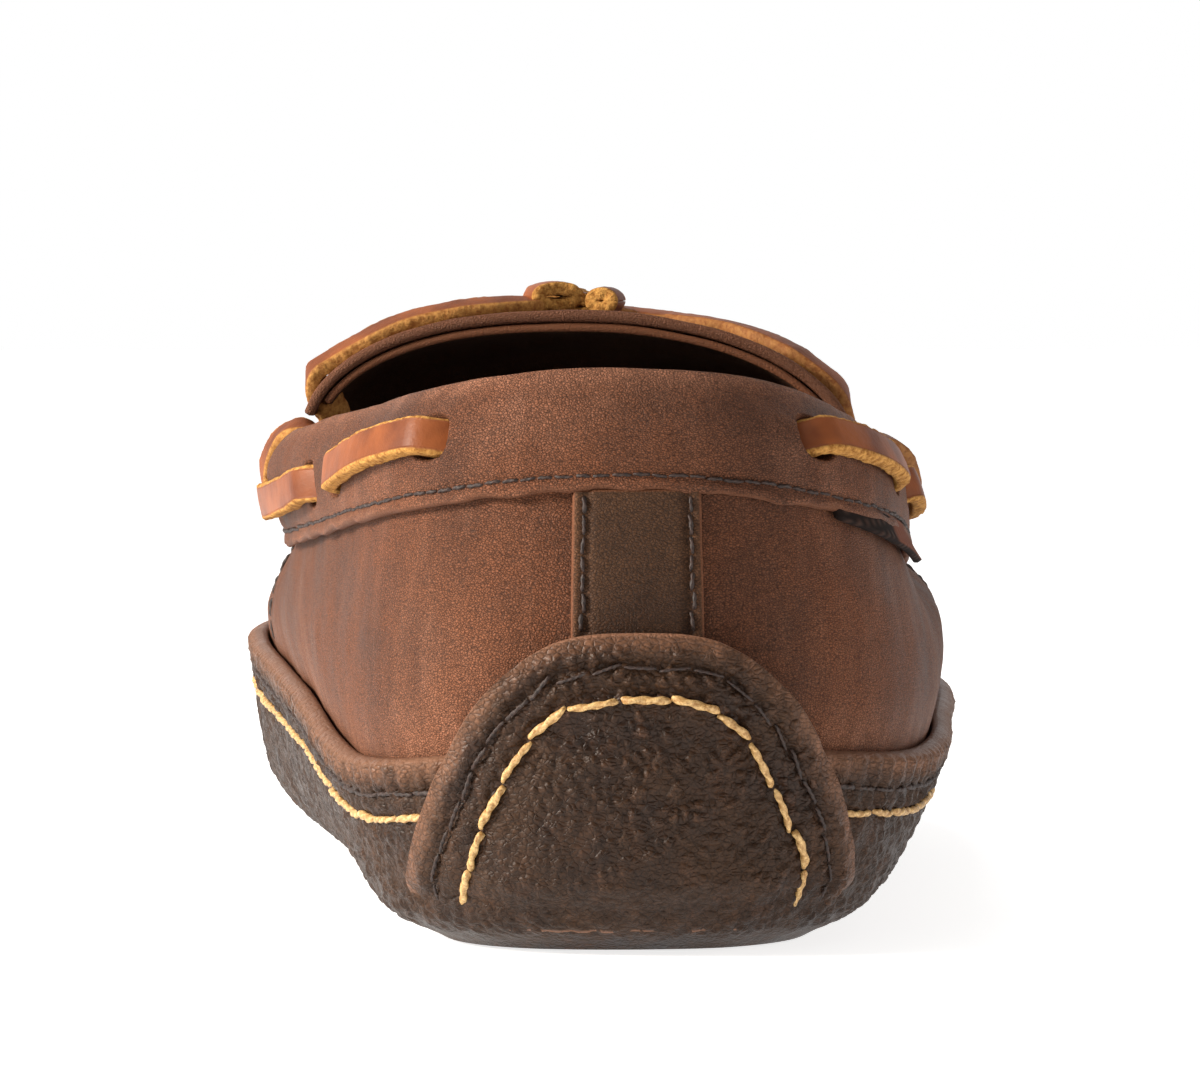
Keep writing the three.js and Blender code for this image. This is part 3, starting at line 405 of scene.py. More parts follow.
def leather_sheet(name, outer, inner, material, body, worn=None, bulge=0.7, **more):
    """A closed sheet between two grids, with a rounded cut edge all round its border."""
    rows, columns = outer.shape[:2]
    count = rows * columns
    top = np.arange(count).reshape(rows, columns)
    bottom = top + count
    faces = grid_quads(top) + [f[::-1] for f in grid_quads(bottom)]
    at, near = border(rows, columns)
    up = (outer[at] - inner[at]) / 2
    middle = (outer[at] + inner[at]) / 2
    out = middle - (outer[near] + inner[near]) / 2
    out -= up * (np.sum(out * up, -1) / np.maximum(np.sum(up * up, -1), 1e-9))[:, None]
    out = unit(out) * np.linalg.norm(up, axis=-1, keepdims=True) * bulge
    arcs = [middle + up * math.cos(angle) + out * math.sin(angle) for angle in np.radians([40, 90, 140])]
    ring = np.arange(len(middle))
    strips = [top[at]] + [2 * count + k * len(ring) + ring for k in range(len(arcs))] + [bottom[at]]
    for a, b in zip(strips, strips[1:]):
        faces += np.stack([a, np.roll(a, -1), np.roll(b, -1), b], -1).tolist()
    edge = len(arcs) * len(ring)
    worn_top = np.zeros(count) if worn is None else np.asarray(worn).reshape(-1)
    return finish_mesh(
        name, np.concatenate([outer.reshape(-1, 3), inner.reshape(-1, 3)] + arcs), faces, material, body,
        cut=np.repeat([0, 1], [2 * count, edge]), worn=np.concatenate([worn_top, np.zeros(count + edge)]), **more,
    )

# %% [markdown]
# Real leather is never flat. These measures give each point its share of a swell, a pebble or a bump near an edge,
# and the sheets are pushed in and out by them, so the relief is in the mesh and not only in the finish.

# %% Relief
def surface_normals(grid):
    """The direction square to a grid at each of its points."""
    return unit(np.cross(np.gradient(grid, axis=0), np.gradient(grid, axis=1)))


def lumps(grid, size, seed=0):
    """Soft hills and hollows, between about -1 and 1, a given size in millimetres."""
    flat = grid.reshape(-1, 3) / size + seed * 17.3
    return np.array([noise.noise(p) for p in map(Vector, flat)]).reshape(grid.shape[:-1])


def pebbles(grid, size, seed=0):
    """Rounded cells, 0 in the creases between them and 1 on top, a given size in millimetres."""
    flat = grid.reshape(-1, 3) / size + seed * 11.1
    far = np.array([noise.voronoi(p)[0][:2] for p in map(Vector, flat)])
    return smoothstep(far[:, 1] - far[:, 0], 0, 0.55).reshape(grid.shape[:-1])


def band(values, middle, width):
    """A soft bump, 1 in the middle and 0 beyond the width."""
    return np.exp(-(((np.asarray(values) - middle) / width) ** 2))


# %% [markdown]
# ## Materials
# A leather's look is made in the tannery: the dye sinks in unevenly, the grain shows as pebbles between creases,
# and wax makes it shine or leaves it dusty. It could be copied from a scan, but a recipe of noise and cells can be
# set in real millimetres and fits every piece. All four leathers share one recipe and differ in its numbers.

# %% A leather recipe
def per_mm(size):
    """A texture scale, in metres of object space, for a pattern of a size in millimetres."""
    return 1000 / size


def new_material(name):
    material = bpy.data.materials.new(name)
    material.use_nodes = True
    material.node_tree.nodes.clear()
    return material, material.node_tree


def leather(name, dark, mid, light, cut_colour, pebble, roughness, grain_depth, cloud=16, crease_shade=0.85, gloss=0.25):
    """Dyed leather: cloudy colour, painted shade in the creases between the pebbles, lighter worn folds and a raw cut
    edge.
    """
    material, tree = new_material(name)
    where = node(tree, "ShaderNodeTexCoord").outputs["Object"]
    worn = node(tree, "ShaderNodeAttribute", {"attribute_name": "worn"}).outputs["Fac"]
    cut = node(tree, "ShaderNodeAttribute", {"attribute_name": "cut"}).outputs["Fac"]
    # the dye's clouds, the brush's upright streaks, and dust of about a third of a millimetre
    clouds = node(tree, "ShaderNodeTexNoise", Vector=where, Scale=per_mm(cloud), Detail=5.0, Roughness=0.6)
    tall = node(tree, "ShaderNodeVectorMath", {"operation": "MULTIPLY"}, i0=where, i1=(1, 1, 0.3)).outputs["Vector"]
    streaks = node(tree, "ShaderNodeTexNoise", Vector=tall, Scale=per_mm(cloud / 4), Detail=3.0, Distortion=0.4)
    dust = node(tree, "ShaderNodeTexNoise", Vector=where, Scale=per_mm(0.3), Detail=2.0)
    # the pebbles are cells, bent by noise so that no crease is straight, and a little flatter than wide
    bent = node(tree, "ShaderNodeTexNoise", Vector=where, Scale=per_mm(pebble * 2.2), Detail=2.0)
    shift = node(
        tree, "ShaderNodeVectorMath", {"operation": "MULTIPLY_ADD"},
        i0=bent.outputs["Color"], i1=(pebble * 0.0011,) * 3, i2=where,
    )
    flat = node(tree, "ShaderNodeVectorMath", {"operation": "MULTIPLY"}, i0=shift.outputs["Vector"], i1=(1, 1, 1.5))
    cells = node(
        tree, "ShaderNodeTexVoronoi", {"feature": "DISTANCE_TO_EDGE"},
        Vector=flat.outputs["Vector"], Scale=per_mm(pebble), Randomness=1.0,
    )
    cloudy = node(tree, "ShaderNodeMapRange", Value=clouds.outputs["Fac"], From_Min=0.36, From_Max=0.62)
    streaky = node(tree, "ShaderNodeMapRange", Value=streaks.outputs["Fac"], From_Min=0.5, From_Max=0.75, To_Max=0.16)
    patchy = node(tree, "ShaderNodeMapRange", Value=streaks.outputs["Fac"], From_Min=0.3, From_Max=0.65, To_Min=0.3)
    rubbed = node(tree, "ShaderNodeMath", {"operation": "MULTIPLY"}, i0=worn, i1=patchy.outputs["Result"])
    # painted shade: the creases between the pebbles are mixed toward near black
    painted_crease_shade = node(
        tree, "ShaderNodeMapRange", Value=cells.outputs["Distance"],
        From_Min=0.0, From_Max=0.2, To_Min=0.75 * crease_shade, To_Max=0.0,
    )
    tint = node(
        tree, "ShaderNodeMapRange", Value=dust.outputs["Fac"], From_Min=0.3, From_Max=0.7, To_Min=0.55, To_Max=1.4,
    )
    paler = [0.6 * a + 0.4 * b for a, b in zip(cut_colour, light)]
    raw = node(
        tree, "ShaderNodeMix", {"data_type": "RGBA"}, i0=dust.outputs["Fac"], i6=cut_colour, i7=paler,
    )
    base = dark
    for amount, colour, mode in (
        (cloudy.outputs["Result"], mid, "MIX"),
        (streaky.outputs["Result"], light, "MIX"),
        (rubbed.outputs["Value"], light, "MIX"),
        (painted_crease_shade.outputs["Result"], (0.01, 0.006, 0.004, 1), "MIX"),
        (0.75, tint.outputs["Result"], "MULTIPLY"),
        (cut, raw.outputs[2], "MIX"),
    ):
        base = node(
            tree, "ShaderNodeMix", {"data_type": "RGBA", "blend_type": mode}, i0=amount, i6=base, i7=colour,
        ).outputs[2]
    rough = node(
        tree, "ShaderNodeMapRange", Value=clouds.outputs["Fac"],
        From_Min=0.3, From_Max=0.7, To_Min=roughness - 0.1, To_Max=roughness + 0.1,
    )
    plump = node(tree, "ShaderNodeMath", {"operation": "POWER"}, i0=cells.outputs["Distance"], i1=0.5)
    height = node(
        tree, "ShaderNodeMath", {"operation": "MULTIPLY_ADD"},
        i0=dust.outputs["Fac"], i1=0.35, i2=plump.outputs["Value"],
    )
    bump = node(
        tree, "ShaderNodeBump", Height=height.outputs["Value"], Strength=1.0, Distance=grain_depth / 1000,
    )
    shader = node(
        tree, "ShaderNodeBsdfPrincipled", Base_Color=base, Roughness=rough.outputs["Result"],
        Normal=bump.outputs["Normal"], Specular_IOR_Level=gloss,
    )
    node(tree, "ShaderNodeOutputMaterial", Surface=shader.outputs["BSDF"])
    return material


# %% [markdown]
# Oiled nubuck is cowhide sanded on its grain side, then waxed. The sole's hide is heavier, tumbled until its grain
# draws up into coarse pebbles, and oiled. The lining is thin dyed sheepskin that lies in the dark of the shoe. The
# grain of real nubuck is about 0.2 mm, too fine to show, so it is drawn at about 0.4 mm.

# %% The four leathers
# Sanded and waxed: matt and dusty, cloudy brown, paler where it bends and where hands rub it.
nubuck = leather(
    "oiled nubuck", from_hex(0x5E3B2A), from_hex(0x744730), from_hex(0xA8745A), from_hex(0x50301F),
    pebble=0.42, roughness=0.6, grain_depth=0.17, crease_shade=0.95, gloss=0.14,
)
# The same leather dyed olive brown: a quiet darker band that makes the heel strip stand apart.
dark_nubuck = leather(
    "olive brown nubuck", from_hex(0x3D281B), from_hex(0x503624), from_hex(0x6E4A32), from_hex(0x70452F),
    pebble=0.5, roughness=0.58, grain_depth=0.12, gloss=0.15,
)
# Tumbled and oiled: nearly black painted shade in the creases, a low shine on the pebbles, and a rubbed brown rim.
hide = leather(
    "pebbled sole hide", from_hex(0x2A1A10), from_hex(0x3A2617), from_hex(0x7A553F), from_hex(0x86604A),
    pebble=1.0, roughness=0.46, grain_depth=0.2, cloud=8, crease_shade=0.45, gloss=0.2,
)
# Dyed through and unfinished: dull grey-brown with no shine.
lining = leather(
    "dark lining leather", from_hex(0x6A5C52), from_hex(0x84756B), from_hex(0x9C8D81), from_hex(0x6A4E40),
    pebble=0.6, roughness=0.75, grain_depth=0.1,
)
print("leathers:", [m.name for m in (nubuck, dark_nubuck, hide, lining)])

# %% [markdown]
# Rawhide is hide that was limed, scraped and dried but not tanned through. A lace cut from it has one smooth face
# with an orange-tan glaze, and raw yellow fibre on its two edges and its back. The "cut" mark tells them apart.

# %% Rawhide
def rawhide_lace():
    """Smooth glazed face, raw yellow edges and back."""
    material, tree = new_material("rawhide")
    where = node(tree, "ShaderNodeTexCoord").outputs["Object"]
    cut = node(tree, "ShaderNodeAttribute", {"attribute_name": "cut"}).outputs["Fac"]
    fibres = node(tree, "ShaderNodeTexNoise", Vector=where, Scale=per_mm(0.8), Detail=4.0, Roughness=0.7)
    patches = node(tree, "ShaderNodeTexNoise", Vector=where, Scale=per_mm(7), Detail=3.0)
    patch = node(tree, "ShaderNodeMapRange", Value=patches.outputs["Fac"], From_Min=0.35, From_Max=0.65)
    fibre = node(tree, "ShaderNodeMapRange", Value=fibres.outputs["Fac"], From_Min=0.35, From_Max=0.62)
    bare = node(tree, "ShaderNodeMapRange", Value=cut, From_Min=0.3, From_Max=0.7)
    face = node(
        tree, "ShaderNodeMix", {"data_type": "RGBA"},
        i0=patch.outputs["Result"], i6=from_hex(0x66341A), i7=from_hex(0x8A4C26),
    )
    raw = node(
        tree, "ShaderNodeMix", {"data_type": "RGBA"},
        i0=fibre.outputs["Result"], i6=from_hex(0x84531F), i7=from_hex(0xC8944E),
    )
    base = node(
        tree, "ShaderNodeMix", {"data_type": "RGBA"}, i0=bare.outputs["Result"], i6=face.outputs[2], i7=raw.outputs[2],
    )
    rough = node(tree, "ShaderNodeMapRange", Value=cut, To_Min=0.48, To_Max=0.9)
    depth = node(tree, "ShaderNodeMath", {"operation": "MULTIPLY_ADD"}, i0=cut, i1=0.85, i2=0.15)
    height = node(
        tree, "ShaderNodeMath", {"operation": "MULTIPLY"}, i0=fibres.outputs["Fac"], i1=depth.outputs["Value"],
    )
    bump = node(tree, "ShaderNodeBump", Height=height.outputs["Value"], Strength=1.0, Distance=0.0005)
    shader = node(
        tree, "ShaderNodeBsdfPrincipled", Base_Color=base.outputs[2], Roughness=rough.outputs["Result"],
        Normal=bump.outputs["Normal"], Specular_IOR_Level=0.25,
    )
    node(tree, "ShaderNodeOutputMaterial", Surface=shader.outputs["BSDF"])
    return material


rawhide = rawhide_lace()

# %% [markdown]
# Thread is spun fibre, so it shows fine light and dark fibres and painted shade in the groove where its plies meet.
# Foam and fibre board, which are felted from small bits, take the same recipe with duller colours.

# %% Spun and felted materials
def fibre_material(name, dark, light, roughness):
    """Fine fibres between two colours, with painted shade in the twist's grooves."""
    material, tree = new_material(name)
    where = node(tree, "ShaderNodeTexCoord").outputs["Object"]
    cut = node(tree, "ShaderNodeAttribute", {"attribute_name": "cut"}).outputs["Fac"]
    fibres = node(tree, "ShaderNodeTexNoise", Vector=where, Scale=per_mm(0.5), Detail=3.0, Roughness=0.7)
    fibre = node(tree, "ShaderNodeMapRange", Value=fibres.outputs["Fac"], From_Min=0.35, From_Max=0.65)
    spun = node(tree, "ShaderNodeMix", {"data_type": "RGBA"}, i0=fibre.outputs["Result"], i6=dark, i7=light)
    # painted shade: where the "cut" attribute marks a groove between plies, the thread turns to its dark colour
    base = node(tree, "ShaderNodeMix", {"data_type": "RGBA"}, i0=cut, i6=spun.outputs[2], i7=dark)
    bump = node(tree, "ShaderNodeBump", Height=fibres.outputs["Fac"], Strength=0.6, Distance=0.0002)
    shader = node(
        tree, "ShaderNodeBsdfPrincipled",
        Base_Color=base.outputs[2], Roughness=roughness, Normal=bump.outputs["Normal"],
    )
    node(tree, "ShaderNodeOutputMaterial", Surface=shader.outputs["BSDF"])
    return material


# Linen drawn through beeswax: honey yellow with a soft shine.
waxed_cord = fibre_material("waxed linen thread", from_hex(0x94672F), from_hex(0xE2BE82), 0.5)
# Machine thread glued into one strand: nearly black, so a seam reads as a row of short dark dashes.
dark_cord = fibre_material("brown bonded thread", from_hex(0x160D0A), from_hex(0x3A241B), 0.6)
# Foamed latex: matt grey crumb.
foam = fibre_material("latex foam", from_hex(0x6E675C), from_hex(0x9A9285), 0.9)
# Pressed leather fibre: dull tan felt.
board = fibre_material("leather fibre board", from_hex(0x7C5F42), from_hex(0xA98A66), 0.85)
print("materials:", [m.name for m in bpy.data.materials])

# %% [markdown]
# ## The sole's bowl
# One piece of heavy hide is wet-moulded up round the foot and sewn to the upper near its edge. Its outside runs
# from the middle of the tread, round the corner and up to the rim, over the cut edge and back down inside. Two
# seams press shallow channels into it, and the leather puckers between the stitches and the edge.

# %% The bowl
FINE_INSET = 3.5  # from a cut edge to the fine seam
WAXED_INSET = 6.6  # and to the waxed seam
STITCH = 7.0  # length of one hand stitch
ROUNDS = 1000  # points round the bowl
rounds = np.linspace(0, ROUND, ROUNDS, endpoint=False)
walk = np.cumsum(np.linalg.norm(np.diff(rim_at(rounds), axis=0, append=rim_at(rounds[:1])), axis=1))
RIM_LENGTH = walk[-1]


def bowl_rows():
    """The bowl's outside and inside grids, and how far below the rim each outside point is."""
    ups = np.linspace(0, 3, 56) ** 0.92 * 3 / 3**0.92
    outer = wall_point(SOLE_WALL, rounds[:, None], ups[None, :])
    outer[:, 0, 2] = 0
    rim_z = at_station(RIM_HEIGHT, rounds)[:, None]
    below_edge = rim_z - outer[:, :, 2]
    normals = wall_normal(SOLE_WALL, rounds[:, None], ups[None, :])
    beat = 0.5 + 0.5 * np.cos(2 * np.pi * walk / STITCH)[:, None]
    channel = 0.45 * band(below_edge, FINE_INSET, 0.9) + 0.65 * band(below_edge, WAXED_INSET, 1.1) * (0.6 + 0.4 * beat)
    pucker = 0.3 * np.cos(4 * np.pi * walk / STITCH + 2 * lumps(outer[:, -1], 9, 3))[:, None]
    pucker = pucker * smoothstep(WAXED_INSET + 1 - below_edge, 0, 3)
    pebble = 0.4 * pebbles(outer, 1.9, 1) * smoothstep(below_edge, 0.4, 2.2) + 0.2 * lumps(outer, 3.5, 2)
    standing = smoothstep(outer[:, :, 2], 0.5, 4)
    outer = outer + normals * ((pebble + pucker - channel) * standing)[..., None]
    inner = wall_point(SOLE_WALL, rounds[:, None], np.linspace(3, 0.6, 12)[None, :], SOLE_THICKNESS)
    return outer, inner, below_edge


def sole_bowl():
    """One closed mesh: the tread, the outside, the rounded rim, the inside and the floor."""
    outer, inner, below_edge = bowl_rows()
    centre = np.array([0, SOLE_LENGTH / 2, 0])
    tread = [outer[:, 0] + (centre - outer[:, 0]) * s for s in (0.94, 0.8, 0.6, 0.4, 0.2, 0.08)]
    lifted = [np.where([True, True, False], ring, 0) for ring in tread]
    edge_out = outer[:, -1]
    edge_in = inner[:, 0]
    middle = (edge_out + edge_in) / 2
    across = (edge_out - edge_in) / 2
    rise = np.array([0, 0, SOLE_THICKNESS / 2 * 0.55])
    arcs = [middle + across * math.cos(angle) + rise * math.sin(angle) for angle in np.radians([35, 70, 110, 145])]
    floor_rows = [inner[:, -1] * (1, 1, 0) + (0, 0, SOLE_THICKNESS)]
    rows = lifted + list(outer.transpose(1, 0, 2)) + arcs + list(inner.transpose(1, 0, 2)) + floor_rows
    inner_centre = centre + (0, 0, SOLE_THICKNESS)
    rows += [floor_rows[0] + (inner_centre - floor_rows[0]) * s for s in (0.4, 0.94)]
    index = np.arange(len(rows) * ROUNDS).reshape(len(rows), ROUNDS).T
    faces = grid_quads(index, wrap=True)
    points = np.concatenate(rows + [centre[None], inner_centre[None]])
    for ring, tip in ((index[:, 0], len(points) - 2), (index[:, -1], len(points) - 1)):
        faces += np.stack([ring, np.roll(ring, -1), np.full(ROUNDS, tip)], -1).tolist()
    cut = np.zeros((len(rows), ROUNDS))
    worn = np.zeros((len(rows), ROUNDS))
    first = len(lifted)
    worn[first:first + outer.shape[1]] = band(below_edge, 0, 1.8).T
    cut[first + outer.shape[1]:first + outer.shape[1] + len(arcs)] = 0.8
    pad = lambda a: np.concatenate([a.reshape(-1), [0, 0]])
    return finish_mesh(
        "sole_bowl", points, faces, hide, "shoe", cut=pad(cut), worn=pad(worn),
        replaces=["outer_sole"], slot="pebbled_hide",
    )


bowl = sole_bowl()
print("sole bowl:", len(bowl.data.vertices), "points, rim", round(RIM_LENGTH), "mm round")

# %% [markdown]
# ## The heel tab
# At the back the hide is slit, and a tongue of it is folded up over the heel, over the ends of the two side walls.
# Its outline is one smooth arch. The sheet is filled in between the arch's two sides, its top and its foot.

# %% The heel tab
TAB_EDGE = np.array([
    (33, 3.6), (32, 6.5), (29.8, 12), (27, 18), (23.8, 24), (20.3, 30), (16.8, 34.6), (12.6, 38.2), (7.5, 40.1),
    (0, 40.5),
])
TAB_THICKNESS = 2.2
TAB_SINK = 1.0  # how deep the tab is pressed into the walls it covers
TAB_SHOULDER = 15  # where the arch turns from the sides to the top
STRIP_THICKNESS = 1.3
STRIP_WIDTH = 16


def resample(points, count):
    """Points at even spacing along a curve through the given ones."""
    points = np.asarray(points, float)
    knots = np.arange(len(points))
    close = np.linspace(0, len(points) - 1, 600)
    fine = np.stack([through(knots, points[:, k], close) for k in range(points.shape[1])], -1)
    run = np.concatenate([[0], np.cumsum(np.linalg.norm(np.diff(fine, axis=0), axis=1))])
    at = np.linspace(0, run[-1], count)
    return np.stack([np.interp(at, run, fine[:, k]) for k in range(points.shape[1])], -1)


arch = resample(np.concatenate([TAB_EDGE * (-1, 1), TAB_EDGE[-2::-1]]), 400)


def tab_plane(columns, rows):
    """A grid over the tab, in width and height: sides from the foot to the shoulders, and the arch between them."""
    half = len(arch) // 2
    shoulder = [np.argmin(np.abs(arch[:half, 0] + TAB_SHOULDER)), half + np.argmin(np.abs(arch[half:, 0] - TAB_SHOULDER))]
    left = resample(arch[:shoulder[0] + 1], rows)
    right = resample(arch[shoulder[1]:], rows)[::-1]
    over = resample(arch[shoulder[0]:shoulder[1] + 1], columns)
    foot = np.linspace(arch[0], arch[-1], columns)
    a = np.linspace(0, 1, columns)[:, None, None]
    b = np.linspace(0, 1, rows)[None, :, None]
    ruled = (1 - b) * foot[:, None] + b * over[:, None] + (1 - a) * left[None] + a * right[None]
    corners = (1 - a) * (1 - b) * foot[0] + a * (1 - b) * foot[-1] + (1 - a) * b * over[0] + a * b * over[-1]
    return ruled - corners


def edge_distance(plane):
    """How far inside the arch each place is."""
    flat = plane.reshape(-1, 2)
    gaps = np.linalg.norm(flat[:, None] - arch[None, ::2], axis=-1)
    return gaps.min(1).reshape(plane.shape[:-1])


def tab_point(plane, depth=0.0):
    """From the tab's width and height to its place on the bowl and the heel strip."""
    x, z = plane[..., 0], plane[..., 1]
    round_ = round_at_side(x)
    rim = at_station(RIM_HEIGHT, round_)
    on_bowl = profile(SOLE_WALL, round_, up_at(SOLE_WALL, round_, np.minimum(z, rim)))[0] - TAB_SINK
    above = up_at(UPPER_WALL, round_, np.maximum(z, rim))
    on_strip = profile(UPPER_WALL, round_, above)[0] + GAP + STRIP_THICKNESS + 2 * GAP
    inner = on_bowl + (np.maximum(on_strip, on_bowl) - on_bowl) * smoothstep(z - rim, -6, 6)
    sunk = (TAB_THICKNESS - TAB_SINK + 0.9) * (1 - smoothstep(z, 4.5, 9.5))
    plan = rim_at(round_) + rim_normal(round_) * (inner + TAB_THICKNESS - sunk - depth)[..., None]
    return np.concatenate([plan, z[..., None]], -1)


def heel_tab():
    """The tab with its two seam channels, its pebbles and a rim that swells a little."""
    plane = tab_plane(220, 160)
    inset = edge_distance(plane)
    outer = tab_point(plane)
    out = surface_normals(outer)
    if out[110, 80, 1] > 0:
        out = -out
    beads = 0.5 + 0.5 * np.cos(plane[..., 0] * 1.1 + plane[..., 1] * 0.7)
    channel = 0.5 * band(inset, FINE_INSET, 0.8) + 0.6 * band(inset, WAXED_INSET + 0.4, 1.0) * (0.7 + 0.3 * beads)
    swell = 0.5 * smoothstep(inset, WAXED_INSET, 16) + 0.25 * band(inset, 1.9, 1.2)
    coarse = 0.45 + 0.55 * smoothstep(plane[..., 0] + plane[..., 1] + 8 * lumps(outer, 12, 6), 0, 40)
    pebble = 0.6 * pebbles(outer, 1.9, 4) * coarse * smoothstep(inset, 0.4, 2.2) + 0.35 * coarse * lumps(outer, 3.2, 5)
    outer = outer + out * (pebble + swell - channel)[..., None]
    inner = tab_point(plane, TAB_THICKNESS)
    worn = np.clip(0.9 * band(inset, 0, 1.6) + 0.2 * smoothstep(pebble, 0.35, 0.8), 0, 1)
    return leather_sheet(
        "heel_tab", outer, inner, hide, "shoe", worn=worn, bulge=0.5, slot="pebbled_hide",
    )


tab = heel_tab()
print("heel tab:", len(tab.data.vertices), "points")

# %% [markdown]
# ## The upper
# Two quarters meet at the heel and the vamp closes the toe. Each follows the last's wall and bulges gently above
# the sole. Shallow waves give it the uneven swell of leather that has been pulled over a last by hand.

# %% Quarters and vamp
TONGUE_BACK = 98
TONGUE_FRONT = 156
SIDE_SEAM = [float(round_along(TONGUE_FRONT - 3, 0, TOE)), float(round_along(TONGUE_FRONT - 3, ROUND, TOE))]


def upper_piece(name, first, last, columns, top, replaces):
    """A panel of the upper between two rounds, up to a level."""
    ups = np.linspace(0.35, top, 64)
    around = np.linspace(first, last, columns)
    outer = wall_point(UPPER_WALL, around[:, None], ups[None, :])
    out = wall_normal(UPPER_WALL, around[:, None], ups[None, :])
    waves = 0.35 * lumps(outer, 22, 8) + 0.12 * lumps(outer, 6, 9) + 0.06 * lumps(outer, 2.4, 10)
    outer = outer + out * waves[..., None]
    inner = wall_point(UPPER_WALL, around[:, None], ups[None, :], UPPER_THICKNESS)
    height = outer[..., 2]
    rim = at_station(RIM_HEIGHT, around)[:, None]
    worn = 0.5 * band(height - rim, 1, 5) + 0.2 * smoothstep(lumps(outer, 30, 12), 0, 0.5)
    return leather_sheet(name, outer, inner, nubuck, "shoe", worn=worn, replaces=[replaces], slot="brown_nubuck")


PANEL_GAP = 0.012  # in rounds
for name, first, last, columns, top, replaced in (
    ("quarter_inner", 0, SIDE_SEAM[0], 180, 3.9, "quarter_medial"),
    ("quarter_outer", SIDE_SEAM[1], ROUND, 180, 3.9, "quarter_lateral"),
    ("vamp_wall", SIDE_SEAM[0], SIDE_SEAM[1], 300, 3.0, "vamp"),
):
    panel = upper_piece(name, first + PANEL_GAP, last - PANEL_GAP, columns, top, replaced)
    print(name + ":", len(panel.data.vertices), "points")

# %% [markdown]
# ## The heel strip
# A strip of darker leather covers the seam between the quarters. It stands a leather's thickness proud and is
# stitched close to both edges, which pulls them down a little.

# %% The heel strip
STRIP_DEPTH = -GAP - STRIP_THICKNESS


def heel_strip():
    """The strip, from under the tab up to the collar."""
    across = np.linspace(-STRIP_WIDTH / 2, STRIP_WIDTH / 2, 46)
    rounds_ = round_at_side(across)
    heights = np.linspace(27.2, SEAM_HEIGHT[0] - 0.9, 70)
    up = up_at(UPPER_WALL, rounds_[:, None], heights[None, :])
    outer = wall_point(UPPER_WALL, rounds_[:, None], up, STRIP_DEPTH)
    out = wall_normal(UPPER_WALL, rounds_[:, None], up)
    inset = (STRIP_WIDTH / 2 - np.abs(across))[:, None]
    outer = outer + out * (0.15 * lumps(outer, 9, 14) - 0.35 * band(inset, 1.4, 0.7))[..., None]
    inner = wall_point(UPPER_WALL, rounds_[:, None], up, -GAP / 2)
    return leather_sheet(
        "heel_strip_leather", outer, inner, dark_nubuck, "shoe", worn=0.6 * band(inset + 0 * up, 0, 0.8),
        replaces=["heel_strip"], slot="dark_nubuck",
    )


strip = heel_strip()
print("heel strip:", len(strip.data.vertices), "points")

# %% [markdown]
# ## The collar
# A band of the upper's leather is folded over at the top. Its lower edge lies on the quarters as a lip, with a seam
# close above it. Slots let the lace in and out: they are pressed deep enough to read as holes, and the lace fills
# them.

# %% The lace's route round the collar
LACE_WIDTH = 4.9
LACE_THICKNESS = 2.1
LACE_ALONG = [0, 12, 30, 45, 60, 68, 85, 105, 122]
LACE_HEIGHT = [
    [67, 65, 61.7, 59.4, 57.7, 56.6, 55.2, 54.4, 54],
    [67.4, 64.4, 60.8, 58.4, 56.6, 55.6, 54.2, 53.6, 53.4],
]
SLOTS_ALONG = [[12, 44.5, 57, 102, 116], [12, 37.5, 50, 97, 116]]
LACE_OUT = -GAP - LACE_THICKNESS / 2
LACE_IN = BAND_THICKNESS + 2 * GAP + LACE_THICKNESS / 2
LACE_DIVE = 3.4  # how far before and after a slot the lace goes through the band


def lace_route(side):
    """Places along one side of the band, how far along each is, and where the slots are."""
    around = np.linspace(0, 4.9, 500) * (1 if side == 0 else -1)
    y = rim_at(around)[:, 1]
    up = up_at(BAND_WALL, around, through(LACE_ALONG, LACE_HEIGHT[side], y), 0, 3)
    at = wall_point(BAND_WALL, around, up)
    run = np.concatenate([[0], np.cumsum(np.linalg.norm(np.diff(at, axis=0), axis=1))])
    slots = [float(np.interp(s, at[:, 1], run)) for s in SLOTS_ALONG[side]]
    return {"around": around, "up": up, "run": run, "slots": slots}


routes = [lace_route(0), lace_route(1)]


def on_route(route, run):
    """The round and the level at a length along the lace."""
    return np.interp(run, route["run"], route["around"]), np.interp(run, route["run"], route["up"])


def lace_depth(route, run):
    """How deep the lace lies: outside the band in the windows, and inside the fold elsewhere."""
    depth = np.full(np.shape(run), LACE_IN)
    for i, slot in enumerate(route["slots"]):
        way = LACE_OUT - LACE_IN if i % 2 == 0 else LACE_IN - LACE_OUT
        depth = depth + way * smoothstep(run, slot - LACE_DIVE, slot + LACE_DIVE)
    for start, end in zip(route["slots"][::2], route["slots"][1::2]):
        span = np.clip((run - start) / (end - start), 0, 1)
        depth = depth - 0.5 * np.sin(np.pi * span)  # the lace bows outward between two slots
    return depth


print("lace slots, mm from the heel:", SLOTS_ALONG)

# %% [markdown]
# The band itself is one long sheet, from the lip up over the fold and down inside. It could be cut with real holes,
# but a hole has a hard edge that a punched slot in soft leather lacks, so the leather is pressed inward round each
# slot and the lace covers the rest. The lip's height wanders a little, as a hand-cut edge does.

# %% The collar band
BAND_FRONT = TONGUE_FRONT - 10
BAND_END = [float(round_along(BAND_FRONT, 0, TOE)), float(round_along(BAND_FRONT, ROUND, TOE))]
LIP_INSET = 1.5  # from the lip to its seam
SLOT_SHIFT = 1.2  # the hollow lies on the side where the lace comes out


